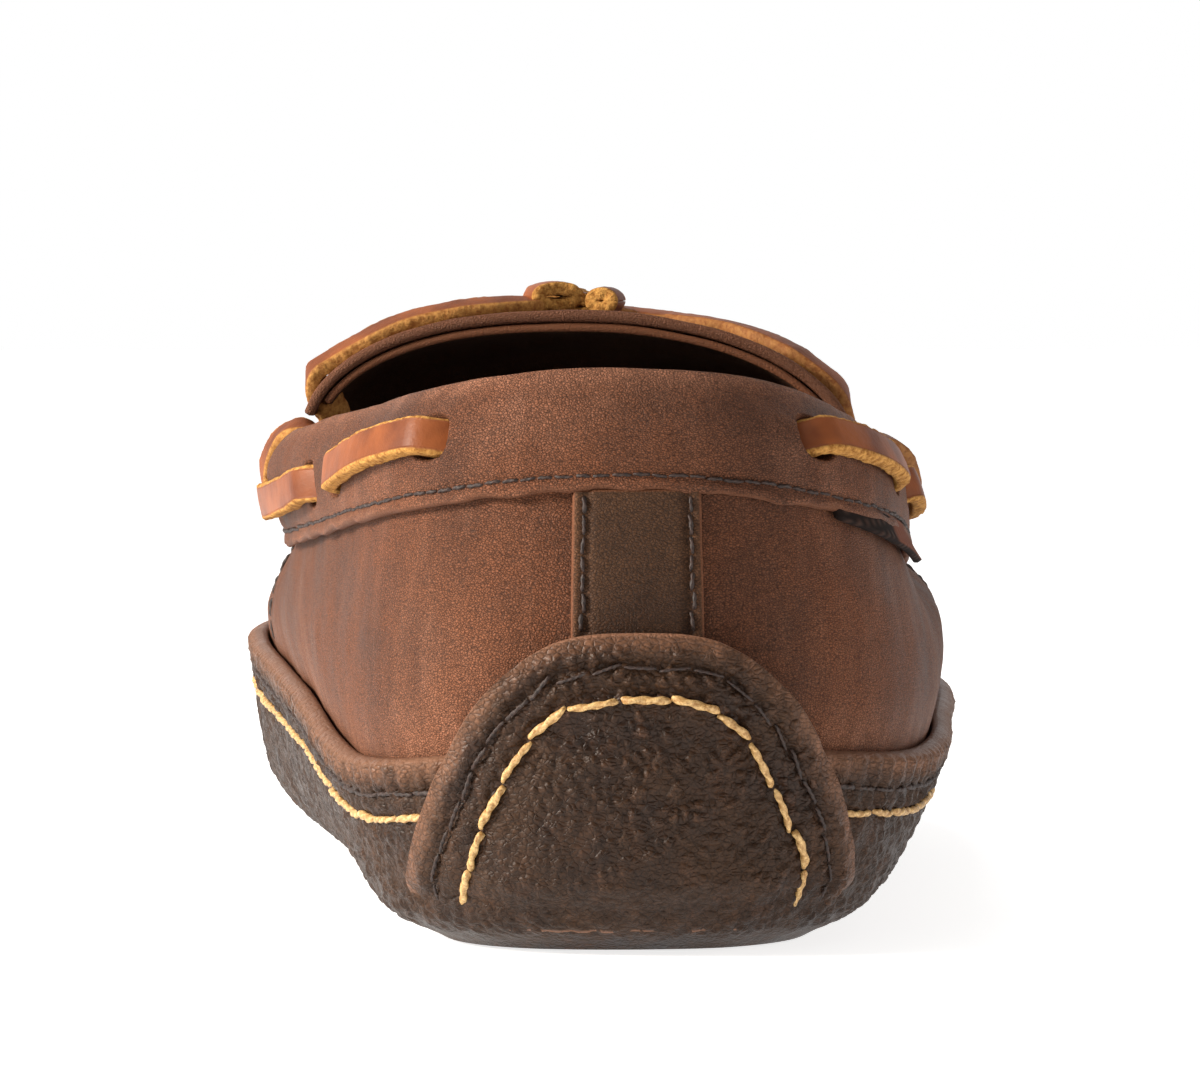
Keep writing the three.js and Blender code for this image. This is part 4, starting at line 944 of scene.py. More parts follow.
def slot_hollows(grid):
    """How far each place on the band is pressed in by the nearest slot."""
    press = np.zeros(grid.shape[:-1])
    for route in routes:
        for i, slot in enumerate(route["slots"]):
            shift = SLOT_SHIFT if i % 2 == 0 else -SLOT_SHIFT
            around, up = on_route(route, slot + shift)
            centre = wall_point(BAND_WALL, around, up)
            out = wall_normal(BAND_WALL, around, up)
            a0, u0 = on_route(route, slot + shift + 1)
            along = unit(wall_point(BAND_WALL, a0, u0) - centre)
            across = np.cross(along, out)
            local = grid - centre
            reach = (np.abs(local @ along) / 3.4) ** 2.4 + (np.abs(local @ across) / 2.9) ** 2.4
            press = np.maximum(press, np.where(np.abs(local @ out) < 4, 1 - smoothstep(reach, 0.55, 1.15), 0))
    return press


def collar_band():
    """The band, with its puff, waves, seam groove and slots."""
    around = np.linspace(BAND_END[1] - ROUND, BAND_END[0], 620)
    ups = np.concatenate([np.linspace(0, 3, 70), np.linspace(3, 5, 30)[1:]])
    outer = wall_point(BAND_WALL, around[:, None], ups[None, :])
    out = wall_normal(BAND_WALL, around[:, None], ups[None, :])
    above = outer[..., 2] - at_station(SEAM_HEIGHT, around)[:, None]
    outside = (ups < 2.9)[None, :]
    press = slot_hollows(outer) * outside
    groove = 0.35 * band(above, LIP_INSET, 0.7) * outside
    puff = 0.8 * band(above, 9, 4.5) * outside
    waves = 0.3 * lumps(outer, 16, 21) + 0.1 * lumps(outer, 5, 22)
    lip = band(above, 0, 0.8) * outside
    outer = outer + out * (waves + puff - groove - 2.6 * press)[..., None]
    outer[..., 2] += 0.9 * lip * lumps(outer, 4.2, 27)
    inner = wall_point(BAND_WALL, around[:, None], ups[None, :], BAND_THICKNESS) - out * (2.0 * press)[..., None]
    worn = 0.55 * band(ups[None, :] + 0 * above, 2.7, 0.45) + 0.15 * band(above, 0, 0.6) * outside
    worn = np.clip(worn + 0.3 * smoothstep(lumps(outer, 25, 25), 0, 0.5), 0, 1) * (1 - press)
    return leather_sheet(
        "collar_leather", outer, inner, nubuck, "shoe", worn=worn, bulge=0.6,
        replaces=["collar_band"], slot="brown_nubuck",
    )


collar = collar_band()
print("collar:", len(collar.data.vertices), "points")

# %% [markdown]
# ## Straps and threads
# A lace is a strap with a smooth face and three raw sides. A hand stitch is a short length of twisted thread that
# dives into a hole at each end. Both are swept along paths of a place and the direction out of the leather there.

# %% Sweeps
def frames(places, outs):
    """At each place of a path, the directions along it, across it and up out of the leather."""
    along = unit(np.gradient(places, axis=0))
    across = unit(np.cross(along, outs))
    return along, across, unit(np.cross(across, along))


def tube(centre, across, up, radius):
    """Points and faces of a closed tube. radius has a row for each step and a column for each side."""
    steps, sides = radius.shape
    angles = np.linspace(0, 2 * np.pi, sides, endpoint=False)
    ring = centre[:, None] + across[:, None] * (np.cos(angles) * radius)[..., None]
    ring = ring + up[:, None] * (np.sin(angles) * radius)[..., None]
    index = np.arange(steps * sides).reshape(steps, sides)
    faces = grid_quads(np.concatenate([index, index[:, :1]], 1)) + [index[0].tolist(), index[-1, ::-1].tolist()]
    return ring.reshape(-1, 3), faces


# the strap's cross-section in shares of its width and thickness, and which of its corners are raw
STRAP_SECTION = np.array([
    (-0.5, -0.30), (-0.46, -0.46), (-0.3, -0.5), (0, -0.5), (0.3, -0.5), (0.46, -0.46), (0.5, -0.30), (0.5, 0.0),
    (0.5, 0.28), (0.45, 0.46), (0.36, 0.5), (0.18, 0.52), (0, 0.53), (-0.18, 0.52), (-0.36, 0.5), (-0.45, 0.46),
    (-0.5, 0.28), (-0.5, 0.0),
])
STRAP_CUT = np.array([1, 1, 1, 1, 1, 1, 1, 1, 1, 0.9, 0, 0, 0, 0, 0, 0.9, 1, 1.0])


def strap_mesh(places, outs, width=LACE_WIDTH, thickness=LACE_THICKNESS, seed=0, rough=0.22):
    """Points, faces and cut marks of a strap along a path, closed at both ends."""
    along, across, up = frames(places, outs)
    n, sides = len(places), len(STRAP_SECTION)
    ring = places[:, None] + across[:, None] * (STRAP_SECTION[:, 0] * width)[None, :, None]
    ring = ring + up[:, None] * (STRAP_SECTION[:, 1] * thickness)[None, :, None]
    fray = lumps(ring, 0.8, seed + 31) + 0.8 * lumps(ring, 3.5, seed + 32)
    away = unit(ring - places[:, None])
    ring = ring + away * (fray * rough * (0.25 + 0.75 * STRAP_CUT)[None, :])[..., None]
    ends = [places[0] - along[0] * 0.2, places[-1] + along[-1] * 0.2]
    points = np.concatenate([ring.reshape(-1, 3), ends])
    index = np.arange(n * sides).reshape(n, sides)
    loop = np.concatenate([index, index[:, :1]], 1)
    faces = grid_quads(loop)
    for row, tip in ((index[0], n * sides), (index[-1], n * sides + 1)):
        faces += np.stack([row, np.roll(row, -1), np.full(sides, tip)], -1).tolist()
    return points, faces, np.concatenate([np.tile(STRAP_CUT, n), [1, 1]])


PLIES = 2
STITCH_SIDES = 12
STITCH_RISE = 0.2  # how far a stitch stands up, in diameters


def twisted_stitch(start, end, out, diameter, seed, sink=0.55):
    """One stitch between two holes: it rises from the leather and dives back, its two plies wound round each other."""
    rng = np.random.default_rng(seed)
    length = np.linalg.norm(end - start)
    steps = max(8, int(length / (diameter * 0.28)))
    t = np.linspace(0, 1, steps)
    lift = diameter * (STITCH_RISE - (sink + STITCH_RISE) * np.abs(2 * t - 1) ** 5)
    side = np.cross(unit(end - start), out)
    sway = rng.uniform(-0.12, 0.12) * diameter * np.sin(np.pi * t)
    centre = start + (end - start) * t[:, None] + out * lift[:, None] + side * sway[:, None]
    across, up = frames(centre, np.broadcast_to(out, centre.shape))[1:]
    angles = np.linspace(0, 2 * np.pi, STITCH_SIDES, endpoint=False)
    diameter = diameter * rng.uniform(0.8, 1.14)
    turn = t[:, None] * length / (diameter * 2.1) * 2 * np.pi / PLIES + rng.uniform(0, 6)
    wave = np.cos(PLIES * (angles[None] - turn))
    radius = diameter / 2 * (0.86 + 0.16 * wave) * (1 - 0.25 * np.abs(2 * t - 1) ** 6)[:, None]
    points, faces = tube(centre, across, up, radius)
    # the third list marks the grooves between the plies, which the thread's material fills with painted shade
    return points, faces, (0.45 * (0.5 - 0.5 * wave) ** 3).reshape(-1)


def join_parts(parts):
    """Several meshes as one."""
    points, faces, cuts, start = [], [], [], 0
    for p, f, c in parts:
        points.append(p)
        faces += [[v + start for v in face] for face in f]
        cuts.append(c)
        start += len(p)
    return np.concatenate(points), faces, np.concatenate(cuts)


def seam(name, places, outs, pitch, diameter, cord, body, gap=0.05, wander=0.05, seed=0, replaces=(), **how):
    """A row of stitches along a path, each straight between its two holes, which wander a little."""
    run = np.concatenate([[0], np.cumsum(np.linalg.norm(np.diff(places, axis=0), axis=1))])
    rng = np.random.default_rng(seed + 5)
    count = max(1, int(round(run[-1] / pitch)))
    holes = np.linspace(0, run[-1], count + 1) + np.concatenate([[0], rng.uniform(-0.1, 0.1, count - 1) * pitch, [0]])
    pick = lambda table, at: np.stack([np.interp(at, run, table[:, k]) for k in range(3)], -1)
    parts = []
    for i in range(count):
        span = holes[i + 1] - holes[i]
        ends = pick(places, np.array([holes[i] + gap * span, holes[i + 1] - gap * span]))
        out = unit(pick(outs, np.array([(holes[i] + holes[i + 1]) / 2])))[0]
        side = np.cross(unit(ends[1] - ends[0]), out)
        ends = ends + side * rng.uniform(-wander, wander, (2, 1)) * pitch
        parts.append(twisted_stitch(ends[0], ends[1], out, diameter, seed * 1000 + i, **how))
    points, faces, cut = join_parts(parts)
    slot = "waxed_thread" if cord == waxed_cord else "dark_thread"
    print(name + ":", count, "stitches")
    return finish_mesh(name, points, faces, cord, body, cut=cut, replaces=replaces, slot=slot)


# %% [markdown]
# ## Seams of the sole
# A fine machine seam holds the hide's edge, and below it runs the thick waxed hand seam. On the tab both follow the
# arch inside its edge.

# %% The sole's seams
sides = unit(np.gradient(arch, axis=0)) @ np.array([[0, -1], [1, 0]])
inward = -sides if sides[len(arch) // 2, 1] > 0 else sides
for label, inset, tab_inset, pitch, cord, side, rim_look, tab_look in (
    (
        "fine", FINE_INSET, 0.3, 4.6, dark_cord, 25.8,
        {"diameter": 0.7, "seed": 1, "gap": 0.05}, {"diameter": 0.5, "seed": 3, "wander": 0.16, "gap": 0.05},
    ),
    (
        "waxed", WAXED_INSET, 0.7, STITCH, waxed_cord, 27.6,
        {"diameter": 1.1, "seed": 2, "gap": 0.02}, {"diameter": 1.1, "seed": 4, "wander": 0.09, "gap": 0.04},
    ),
):
    around = np.linspace(float(round_at_side(-side)), ROUND + float(round_at_side(side)), 900)
    up = up_at(SOLE_WALL, around, at_station(RIM_HEIGHT, around) - inset)
    seam(
        f"sole_seam_{label}", wall_point(SOLE_WALL, around, up, 0.1), wall_normal(SOLE_WALL, around, up),
        pitch, cord=cord, body="shoe", replaces=[f"sole_thread_{label}"], **rim_look,
    )
    path = resample((arch + inward * (inset + tab_inset))[::12], 300)
    path = path[path[:, 1] > 5.2]  # the seam ends above the tread
    out = unit(tab_point(path, -1) - tab_point(path, 1))
    seam(
        f"tab_seam_{label}", tab_point(path, 0.1) + out * 0.25, out, pitch * 0.95, cord=cord, body="shoe",
        replaces=[f"tab_thread_{label}"], sink=0.4, **tab_look,
    )

# %% [markdown]
# ## Seams of the upper
# Finer dark thread closes the upper: along the collar's lip, down both edges of the heel strip and up the sides.

# %% The upper's seams
around = np.linspace(BAND_END[1] - ROUND + 0.1, BAND_END[0] - 0.1, 900)
up = up_at(BAND_WALL, around, at_station(SEAM_HEIGHT, around) + LIP_INSET, 0, 2)
seam(
    "collar_seam", wall_point(BAND_WALL, around, up, 0.25), wall_normal(BAND_WALL, around, up), 2.4, 0.52, dark_cord,
    "shoe", gap=0.04, wander=0.06, seed=6, replaces=["collar_thread"],
)
for label, side, around_side in (("medial", -1, SIDE_SEAM[0] + 0.12), ("lateral", 1, SIDE_SEAM[1] - 0.12)):
    round_ = float(round_at_side(side * (STRIP_WIDTH / 2 - 1)))
    heights = np.linspace(41, SEAM_HEIGHT[0] - 1.3, 60)  # from the tab to the collar
    up = up_at(UPPER_WALL, np.full(60, round_), heights)
    seam(
        f"strip_seam_{label}", wall_point(UPPER_WALL, round_, up, STRIP_DEPTH + 0.2),
        wall_normal(UPPER_WALL, round_, up), 2.5, 0.58, dark_cord, "shoe",
        wander=0.09, seed=7 + side, replaces=[f"strip_thread_{label}"],
    )
    up = np.linspace(1.15, 2.75, 60)
    seam(
        f"side_seam_{label}", wall_point(UPPER_WALL, around_side, up, 0.05), wall_normal(UPPER_WALL, around_side, up),
        3.2, 0.75, dark_cord, "shoe", seed=10 + side, replaces=[f"side_thread_{label}"],
    )

# %% [markdown]
# ## The plug
# The plug is the panel over the toes. The vamp is gathered to it, so its edge stands up in a round welt of small
# puckers, with the waxed thread running along it. The welt is a tube whose radius swells once for each stitch.

# %% The plug
PLUG_BACK = TONGUE_FRONT + 1.2
PLUG_EDGE = 1.3  # the plug's edge lies this far inside the vamp's
PLUG_TIP = 0.42  # in rounds from the toe


def plug_edge(round_):
    """The plug's edge, at the vamp's top."""
    at = wall_point(UPPER_WALL, round_, 3.0)
    at[..., :2] -= rim_normal(round_) * PLUG_EDGE
    return at


PLUG_FRONT = float(min(plug_edge(np.array(TOE - PLUG_TIP))[1], plug_edge(np.array(TOE + PLUG_TIP))[1]))
PLUG_STATIONS = PLUG_BACK + np.array([0, 0.3, 0.57, 0.84, 1]) * (PLUG_FRONT - PLUG_BACK)
PLUG_CROWN = [21, 14.5, 9.5, 5, 1.5]


def plug_surface(y, share):
    """A place on the plug, from the distance from the heel and the share of the half width."""
    y, share = np.broadcast_arrays(np.asarray(y, float), np.asarray(share, float))
    left = round_along(y, 4, TOE, plug_edge)
    right = round_along(y, ROUND - 4, TOE, plug_edge)
    t = ((share + 1) / 2)[..., None]
    straight = plug_edge(left) * (1 - t) + plug_edge(right) * t
    curved = plug_edge(left + (right - left) * t[..., 0])
    bend = smoothstep(y, PLUG_FRONT - 30, PLUG_FRONT)[..., None]
    place = straight + (curved - straight) * bend
    place[..., 2] += through(PLUG_STATIONS, PLUG_CROWN, y) * (1 - np.abs(share) ** 2.4)
    return place


def surface_sheet(name, surface, first, last, rows, reach, columns, shallow, deep, material, body, shape=None, **more):
    """A sheet over such a surface, between two depths below it."""
    y = np.linspace(first, last, rows)[:, None]
    share = np.linspace(-reach, reach, columns)[None, :]
    grid = surface(y, share)
    down = unit(np.cross(
        surface(y + 0.01, share) - surface(y - 0.01, share), surface(y, share + 0.01) - surface(y, share - 0.01),
    ))
    extra = 0 if shape is None else shape(grid, y, share)[..., None]
    return leather_sheet(name, grid + down * (shallow - extra), grid + down * deep, material, body, **more)


surface_sheet(
    "plug_panel", plug_surface, PLUG_BACK, PLUG_FRONT - 0.05, 130, 1, 110, 0, UPPER_THICKNESS, nubuck, "shoe",
    shape=lambda g, y, s: 0.3 * lumps(g, 18, 41) + 0.1 * lumps(g, 5, 42),
    replaces=["plug"], slot="brown_nubuck",
)
# %% [markdown]
# The gathered edge is made as a tube over the joint between vamp and plug, with one swelling for each stitch, and
# the waxed thread lies along its outer side.

# %% The puckered welt and its seam
WELT_RADIUS = 1.35
PUCKER = 6.0  # one pucker for each stitch
around = np.linspace(SIDE_SEAM[0] + 0.05, SIDE_SEAM[1] - 0.05, 1400)
middle = (wall_point(UPPER_WALL, around, 3.0) + plug_edge(around)) / 2 + (0, 0, 0.1)
run = np.concatenate([[0], np.cumsum(np.linalg.norm(np.diff(middle, axis=0), axis=1))])
across, up = frames(middle, np.broadcast_to([0, 0, 1.0], middle.shape))[1:]
turn = np.linspace(0, 2 * np.pi, 16, endpoint=False)
radius = WELT_RADIUS * (1 + 0.14 * np.cos(2 * np.pi * run / PUCKER))[:, None] + 0 * turn
points, faces = tube(middle, across, up, radius)
rubbed = 0.6 * smoothstep(np.sin(turn), 0.4, 1) + 0 * radius
finish_mesh("plug_welt", points, faces, nubuck, "shoe", worn=rubbed.reshape(-1), slot="brown_nubuck")
around = np.linspace(SIDE_SEAM[0] + 0.3, SIDE_SEAM[1] - 0.3, 900)
seam(
    "plug_seam", wall_point(UPPER_WALL, around, 2.88), wall_normal(UPPER_WALL, around, 2.88), PUCKER, 1.25,
    waxed_cord, "shoe", seed=14, replaces=["plug_thread"],
)

# %% [markdown]
# ## The tongue
# The tongue is one arched flap of the upper's leather with a second, darker flap below it.

# %% The tongue
TONGUE_STATIONS = [TONGUE_BACK, 118, 140, TONGUE_FRONT]
TONGUE_CENTRE = [-5.5, -5, -2.5, -0.5]
TONGUE_CREST = [80.6, 79.2, 75.4, 71]
TONGUE_HALF = [[38, 37.5, 34, 30], [39, 37.5, 33, 30]]
TONGUE_EDGE = [[63.5, 63.5, 61, 58.6], [61, 61.5, 60, 58.6]]
TONGUE_THICKNESS = 1.6


def tongue_surface(y, share):
    """A place on the tongue's arch, from the distance from the heel and the share of the half width."""
    y, share = np.broadcast_arrays(np.asarray(y, float), np.asarray(share, float))
    inner = share < 0
    pick = lambda pair: np.where(inner, through(TONGUE_STATIONS, pair[0], y), through(TONGUE_STATIONS, pair[1], y))
    a = np.abs(share)
    low = pick(TONGUE_EDGE)
    arch_ = np.sqrt(np.maximum(1 - a ** np.where(inner, 2.5, 2.1), 0))
    z = low + (through(TONGUE_STATIONS, TONGUE_CREST, y) - low) * arch_
    x = through(TONGUE_STATIONS, TONGUE_CENTRE, y) + share * pick(TONGUE_HALF)
    return np.stack([x, y + 0 * x, z], -1)


def on_tongue(piece):
    """Bakes the piece's placement into its mesh."""
    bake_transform(piece)


for label, shallow, deep, reach, material, node_name, back, slot_name in (
    ("tongue_flap", 0, TONGUE_THICKNESS, 0.985, nubuck, "tongue", TONGUE_BACK, "brown_nubuck"),
    ("tongue_under_flap", 1.75, 2.95, 0.95, dark_nubuck, "tongue_lining", TONGUE_BACK + 0.4, "lining_leather"),
):
    on_tongue(surface_sheet(
        label, tongue_surface, back, TONGUE_FRONT, 90, reach, 130, shallow, deep, material, None,
        shape=lambda g, y, s: 0.25 * lumps(g, 15, 51) + 0.1 * lumps(g, 5, 52),
        worn=0.6 * band(np.linspace(0, TONGUE_FRONT - TONGUE_BACK, 90)[:, None] + np.zeros((1, 130)), 0, 2), bulge=0.6,
        replaces=[node_name], slot=slot_name,
    ))


def above_tongue(y, share, height=0.0):
    """A place over the tongue, and the direction out of it."""
    y, share = np.broadcast_arrays(np.asarray(y, float), np.asarray(share, float))
    out = unit(np.cross(
        tongue_surface(y, share + 0.01) - tongue_surface(y, share - 0.01),
        tongue_surface(y + 0.01, share) - tongue_surface(y - 0.01, share),
    ))
    return tongue_surface(y, share) + out * np.asarray(height)[..., None], out


share = np.linspace(-0.9, 0.9, 200)
place, out = above_tongue(TONGUE_FRONT - 4, share, -0.05)
on_tongue(seam("tongue_seam", place, out, 3.2, 0.75, dark_cord, None, seed=17, replaces=["tongue_thread"]))

# %% [markdown]
# ## The lace and its knot
# One rawhide lace goes round the heel inside the fold, shows in two windows on each side, comes out of the last
# slot, loops up over the collar and is knotted in a small bow over the tongue.

# %% The lace in the collar
LACE_TAIL = LACE_DIVE + 1
KNOT_ALONG = TONGUE_BACK + 10
KNOT_SHARE = -0.06
PARTING = 0.07  # the share of the crossing that stays with the collar


def smooth_path(places, outs, count, first=0.0, last=1.0):
    """A smooth curve through places, from one share of its length to another."""
    at = resample(np.concatenate([places, outs], 1), 800)
    run = np.linspace(0, 1, 800)
    t = np.linspace(first, last, count)
    columns = np.stack([np.interp(t, run, at[:, k]) for k in range(6)], -1)
    return columns[:, :3], unit(columns[:, 3:])


STRAP_LIFT = GAP + LACE_THICKNESS / 2
CROSSING_UNDER = [
    [(-48.2, 118, 58), (-47, 114, 61.4), (-44.4, 110, 63.8), (-41.2, 108, 63.4), (-38.6, 105, 65.5)],
    [(42.2, 119, 57), (41, 116, 60.2), (38.2, 112, 62), (34.4, 108, 62), (31.6, 104.5, 64)],
]
CROSSING_OVER = [
    [(3.2, -0.93), (2.8, -0.83), (2.8, -0.66), (3.2, -0.42), (5.5, -0.22), (9.5, -0.1)],
    [(3.5, 0.93), (4, 0.84), (9, 0.66), (19, 0.46), (23, 0.22), (12, 0.0)],
]


def crossing(side, count, first, last):
    """From the last slot up over the crest, in under the tongue, up through a slit in it and over it to the knot."""
    route = routes[side]
    end = route["slots"][-1] + LACE_TAIL
    around_, up_ = on_route(route, np.array([end - 1, end]))
    at = wall_point(BAND_WALL, around_, up_, lace_depth(route, np.array([end - 1, end])))[1]
    out = wall_normal(BAND_WALL, around_, up_)[1]
    high = np.array([0, 0, 1.0])
    under = [np.array(p) for p in CROSSING_UNDER[side]]
    lean = np.array([0, -0.3, 0])  # the strap lies over the tongue's back edge, so it faces a little back
    over = [above_tongue(TONGUE_BACK + f, s, LACE_THICKNESS / 2 + 0.15) for f, s in resample(CROSSING_OVER[side], 24)]
    places = [at, at + (0, 1, 1.4)] + under + [o[0] for o in over]
    outs = [out, out, out, unit(out + 0.4 * high), unit(out + 1.5 * high), high, unit(high + 0.8 * out)]
    outs += [unit(o[1] + lean) for o in over]
    return smooth_path(np.array(places), np.array(outs), count, first, last)


def collar_half(side):
    """The lace from the heel's middle to the parting, on one side."""
    route = routes[side]
    end = route["slots"][-1] + LACE_TAIL
    run = np.arange(0, end, 0.6)
    around_, up_ = on_route(route, run)
    places = wall_point(BAND_WALL, around_, up_, lace_depth(route, run))
    outs = wall_normal(BAND_WALL, around_, up_)
    more = crossing(side, 10, 0, PARTING)
    return np.concatenate([places, more[0][1:]]), np.concatenate([outs, more[1][1:]])


halves = [collar_half(0), collar_half(1)]
places = np.concatenate([halves[1][0][::-1], halves[0][0][1:]])
outs = np.concatenate([halves[1][1][::-1], halves[0][1][1:]])
points, faces, cut = strap_mesh(places, outs)
lace = finish_mesh(
    "lace_round_collar", points, faces, rawhide, "shoe", cut=cut, replaces=["collar_lace"], slot="rawhide",
)
print("lace in the collar:", round(float(np.linalg.norm(np.diff(places, axis=0), axis=1).sum())), "mm")

# %% [markdown]
# The bow is two flat loops that lie forward on the tongue, and three turns of lace that stand up as the knot.

# %% The bow
LOOP = [
    (4, 0.02), (10, 0.04), (18, 0.08), (28, 0.28), (38, 0.46),
    (44, 0.42), (38, 0.24), (26, 0.1), (12, 0.04), (3, 0.01),
]
LOOP_LIFT = [0.6, 0.2, 0, 0, 0, 0.5, 1.2, 2.1, 2.1, 1.2]


def bow_loop(side):
    """The path of one loop, out from the knot and back over itself."""
    sideways = 1 if side else -1
    made = [
        above_tongue(KNOT_ALONG + f, KNOT_SHARE + sideways * s, STRAP_LIFT + lift)
        for (f, s), lift in zip(LOOP, LOOP_LIFT)
    ]
    return smooth_path(np.array([m[0] for m in made]), np.array([m[1] for m in made]), 120)


def knot_turn(centre, half_width, half_height, lean, seed):
    """One turn of the lace round the knot, standing up out of the tongue."""
    angle = np.linspace(0, 2 * np.pi, 60)
    across_ = np.array([math.cos(lean), math.sin(lean), 0])
    around_ = np.cos(angle)[:, None] * across_, np.sin(angle)[:, None] * np.array([0, 0, 1])
    places_ = centre + around_[0] * half_width + around_[1] * half_height
    return strap_mesh(places_, unit(around_[0] + around_[1]), width=4.6, thickness=1.9, seed=seed, rough=0.3)


knot_place = above_tongue(KNOT_ALONG - 2, KNOT_SHARE, GAP + 1.9)[0]
parts = [strap_mesh(*crossing(side, 170, PARTING - 0.02, 1), seed=2 + side) for side in (0, 1)]
parts += [strap_mesh(*bow_loop(side), seed=4 + side) for side in (0, 1)]
# Painted light and shade: over the tongue each part shows a set share of pale raw fibre, more on the lit inner
# crossing and the loops, least on the shaded outer crossing.
parts = [(p, f, painted_light_share + 0.3 * c) for (p, f, c), painted_light_share in zip(parts, (0.3, 0.16, 0.4, 0.4))]
parts += [
    knot_turn(knot_place + (-0.6, 0.4, 0.1), 2.9, 1.15, 0.3, 8),
    knot_turn(knot_place + (6.6, 0.2, -0.5), 1.5, 1.0, -0.3, 9),
    knot_turn(knot_place + (3.2, 1.5, -1.3), 2.6, 1.0, 0.05, 10),
]
points, faces, cut = join_parts(parts)
bow = finish_mesh(
    "lace_bow_leather", points, faces, rawhide, None, cut=cut, replaces=["lace_bow"], slot="rawhide",
)
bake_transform(bow)
print("bow:", len(bow.data.vertices), "points")

# %% [markdown]
# ## The side label
# A short folded tape of woven cloth, backed with a slip of brown leather at its front end, is caught in the collar's
# seam on the outer side. It is left blank. Woven tape is plain weave, so its threads cross at right angles: two
# waves multiplied give the small raised squares.

# %% The side label
LABEL_MIDDLE, LABEL_LENGTH, LABEL_DROP, LABEL_THICKNESS, LABEL_FLARE = 30, 31, 4, 1.2, 0.8
TAPE_THREAD = 0.9  # spacing of the tape's threads
LEATHER_FROM = 0.5  # the share of the label's length where the leather begins


def tape_material():
    """Matt black weave, with brown leather where the label is worn."""
    material, tree = new_material("woven label tape")
    where = node(tree, "ShaderNodeTexCoord").outputs["Object"]
    leather_end = node(tree, "ShaderNodeAttribute", {"attribute_name": "worn"}).outputs["Fac"]
    threads = [
        node(
            tree, "ShaderNodeTexWave", {"wave_type": "BANDS", "bands_direction": direction},
            Vector=where, Scale=per_mm(TAPE_THREAD) / 6.28, Distortion=0.6,
        ).outputs["Fac"] for direction in "YZ"
    ]
    over = node(tree, "ShaderNodeMath", {"operation": "MULTIPLY"}, i0=threads[0], i1=threads[1]).outputs["Value"]
    tape = node(tree, "ShaderNodeMix", {"data_type": "RGBA"}, i0=over, i6=from_hex(0x1A1311), i7=from_hex(0x3A2A24))
    base = node(
        tree, "ShaderNodeMix", {"data_type": "RGBA"}, i0=leather_end, i6=tape.outputs[2], i7=from_hex(0x6A4030),
    )
    bump = node(tree, "ShaderNodeBump", Height=over, Strength=0.4, Distance=0.0002)
    shader = node(
        tree, "ShaderNodeBsdfPrincipled", Base_Color=base.outputs[2], Roughness=0.85,
        Normal=bump.outputs["Normal"], Specular_IOR_Level=0.1,
    )
    node(tree, "ShaderNodeOutputMaterial", Surface=shader.outputs["BSDF"])
    return material


def side_label():
    """The label hangs from the seam, drops more at its front end and flares out a little."""
    first = float(round_along(LABEL_MIDDLE + LABEL_LENGTH / 2, ROUND, ROUND - 7))
    last = float(round_along(LABEL_MIDDLE - LABEL_LENGTH / 2, ROUND, ROUND - 7))
    around_ = np.linspace(first, last, 50)[:, None]
    t = np.linspace(0, 1, 26)[None, :]
    front = np.linspace(1, 0, 50)[:, None]
    height = at_station(SEAM_HEIGHT, around_) + 0.5 - t * LABEL_DROP * (0.45 + 0.55 * front)
    up_ = up_at(UPPER_WALL, around_ + 0 * t, height)
    depth = -GAP - LABEL_FLARE * t**1.6 * (0.3 + 0.7 * front)
    outer = wall_point(UPPER_WALL, around_ + 0 * t, up_, depth - LABEL_THICKNESS)
    inner = wall_point(UPPER_WALL, around_ + 0 * t, up_, depth)
    return leather_sheet(
        "side_label_tape", outer, inner, tape_material(), "shoe",
        worn=smoothstep(front, LEATHER_FROM, LEATHER_FROM + 0.06) + 0 * t,
        replaces=["side_label"], slot="woven_tape",
    )


label_piece = side_label()
print("label:", len(label_piece.data.vertices), "points")

# %% [markdown]
# ## Inside the shoe
# Dark lining leather covers the quarters, the vamp and the plug from inside, and a thin sock lies on the footbed.

# %% Linings
INNER = UPPER_THICKNESS + GAP
LINING_THICKNESS = 0.9
COUNTER_THICKNESS = 1.2  # the stiffener between the quarters and their lining


def lining_piece(name, first, last, columns, top, depth, replaces):
    """A lining against the upper's inside, with the soft unevenness of glued sheepskin."""
    around_ = np.linspace(first, last, columns)[:, None]
    ups = np.linspace(0.4, top, 40)[None, :]
    outer = wall_point(UPPER_WALL, around_, ups, depth + LINING_THICKNESS)
    inner = wall_point(UPPER_WALL, around_, ups, depth)
    outer = outer + surface_normals(outer) * (0.2 * lumps(outer, 12, 61))[..., None]
    return leather_sheet(name, outer, inner, lining, "shoe", replaces=[replaces], slot="lining_leather")


lining_piece(
    "lining_quarters", SIDE_SEAM[1] - ROUND + 0.05, SIDE_SEAM[0] - 0.05, 240, 3.4,
    INNER + COUNTER_THICKNESS + GAP, "quarter_lining",
)
lining_piece("lining_vamp", SIDE_SEAM[0] + 0.05, SIDE_SEAM[1] - 0.05, 200, 2.9, INNER, "vamp_lining")
surface_sheet(
    "lining_plug", plug_surface, PLUG_BACK, PLUG_FRONT - 12, 60, 0.9, 60, INNER, INNER + LINING_THICKNESS,
    lining, "shoe", replaces=["plug_lining"], slot="lining_leather",
)
print("linings: 3 pieces")

# %% [markdown]
# Under the foot lie, from the top, a thin sock, the foam footbed, the fibre board and, inside the wrapped sole, a
# foam pad. The foam pieces are cut from flat sheet, and the footbed and the sock are dished a little by the heel and
# the ball of the foot. The board and the heel's stiffener keep their imported shapes, because nothing but their felted
# finish shows.

# %% The footbed, sock and pad
PLATE_POINTS = 240
FOOTBED_THICKNESS = 4
SOCK_THICKNESS = 0.8
PAD_THICKNESS = 3


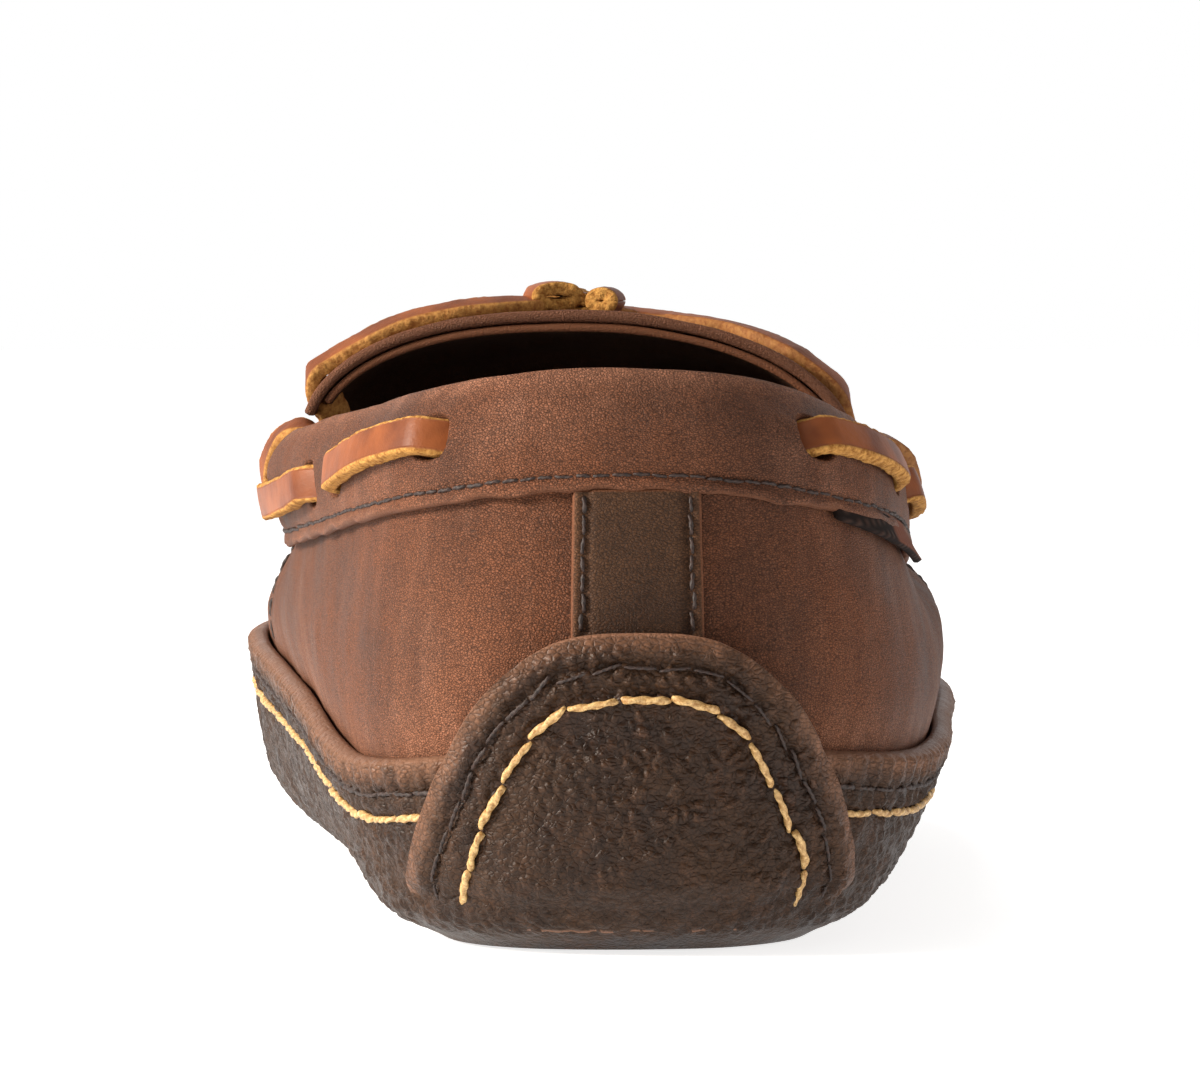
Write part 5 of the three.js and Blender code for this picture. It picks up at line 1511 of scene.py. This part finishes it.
def foot_plate(name, margin, low_, thickness, material, replaces, slot_name, hollow=0.0):
    """A plate of the sole's outline, hollowed a little under the heel and the ball."""
    around_ = np.linspace(0, ROUND, PLATE_POINTS, endpoint=False)
    edge = rim_at(around_) + rim_normal(around_) * at_station(margin, around_)[:, None]
    centre = np.array([0, SOLE_LENGTH / 2])
    dish = lambda s, plan: -hollow * (1 - s**2) * (band(plan[:, 1], 45, 35) + 0.7 * band(plan[:, 1], 205, 45))
    lower, upper = [], [np.column_stack([edge, np.full(PLATE_POINTS, low_ + thickness / 2)])]
    for s in (0.98, 0.94, 0.85, 0.7, 0.5, 0.3, 0.12):
        plan = centre + (edge - centre) * s
        lower.append(np.column_stack([plan, np.full(PLATE_POINTS, low_)]))
        upper.append(np.column_stack([plan, low_ + thickness + dish(s, plan)]))
    rows = lower[::-1] + upper
    index = np.arange(len(rows) * PLATE_POINTS).reshape(len(rows), PLATE_POINTS).T
    faces_ = grid_quads(index, wrap=True)
    tips = np.array([[*centre, low_], [*centre, low_ + thickness]])
    for ring, tip in ((index[:, 0], index.size), (index[:, -1], index.size + 1)):
        faces_ += np.stack([ring, np.roll(ring, -1), np.full(PLATE_POINTS, tip)], -1).tolist()
    return finish_mesh(
        name, np.concatenate(rows + [tips]), faces_, material, "shoe", replaces=[replaces], slot=slot_name,
    )


def within(wall, height, thickness):
    """Offsets, at the stations, of an outline that fits inside a wall at a height."""
    around_ = STATIONS.astype(float)
    offset = profile(wall, around_, up_at(wall, around_, np.full(len(around_), float(height))))[0]
    return offset - 1.25 * thickness - 1


footbed_low = UPPER_FOOT + 0.05
sock_low = footbed_low + FOOTBED_THICKNESS + GAP
pad_low = SOLE_THICKNESS + GAP
in_footbed = within(UPPER_WALL, UPPER_FOOT + 0.1, UPPER_THICKNESS)
in_pad = np.minimum(within(SOLE_WALL, pad_low, SOLE_THICKNESS), SOLE_WALL[0][0] - 1)
footbed = foot_plate("footbed_foam", in_footbed, footbed_low, FOOTBED_THICKNESS, foam, "footbed", "foam", hollow=0.5)
foot_plate(
    "sock_leather", in_footbed, sock_low, SOCK_THICKNESS, lining, "sock_liner", "lining_leather", hollow=0.4,
)
pad_piece = foot_plate("sole_pad_foam", in_pad, pad_low, PAD_THICKNESS, foam, "sole_pad", "foam")
for name in ("inner_sole", "heel_counter"):
    nodes[name].data.materials.clear()
    nodes[name].data.materials.append(board)
print("under the foot:", footbed.name, pad_piece.name)

# %% [markdown]
# ## Done
# The finished shoe's box is printed.

# %% Sizes and the end
low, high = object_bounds()
print("visual box:", [round((b - a) * 1000, 1) for a, b in zip(low, high)], "mm")
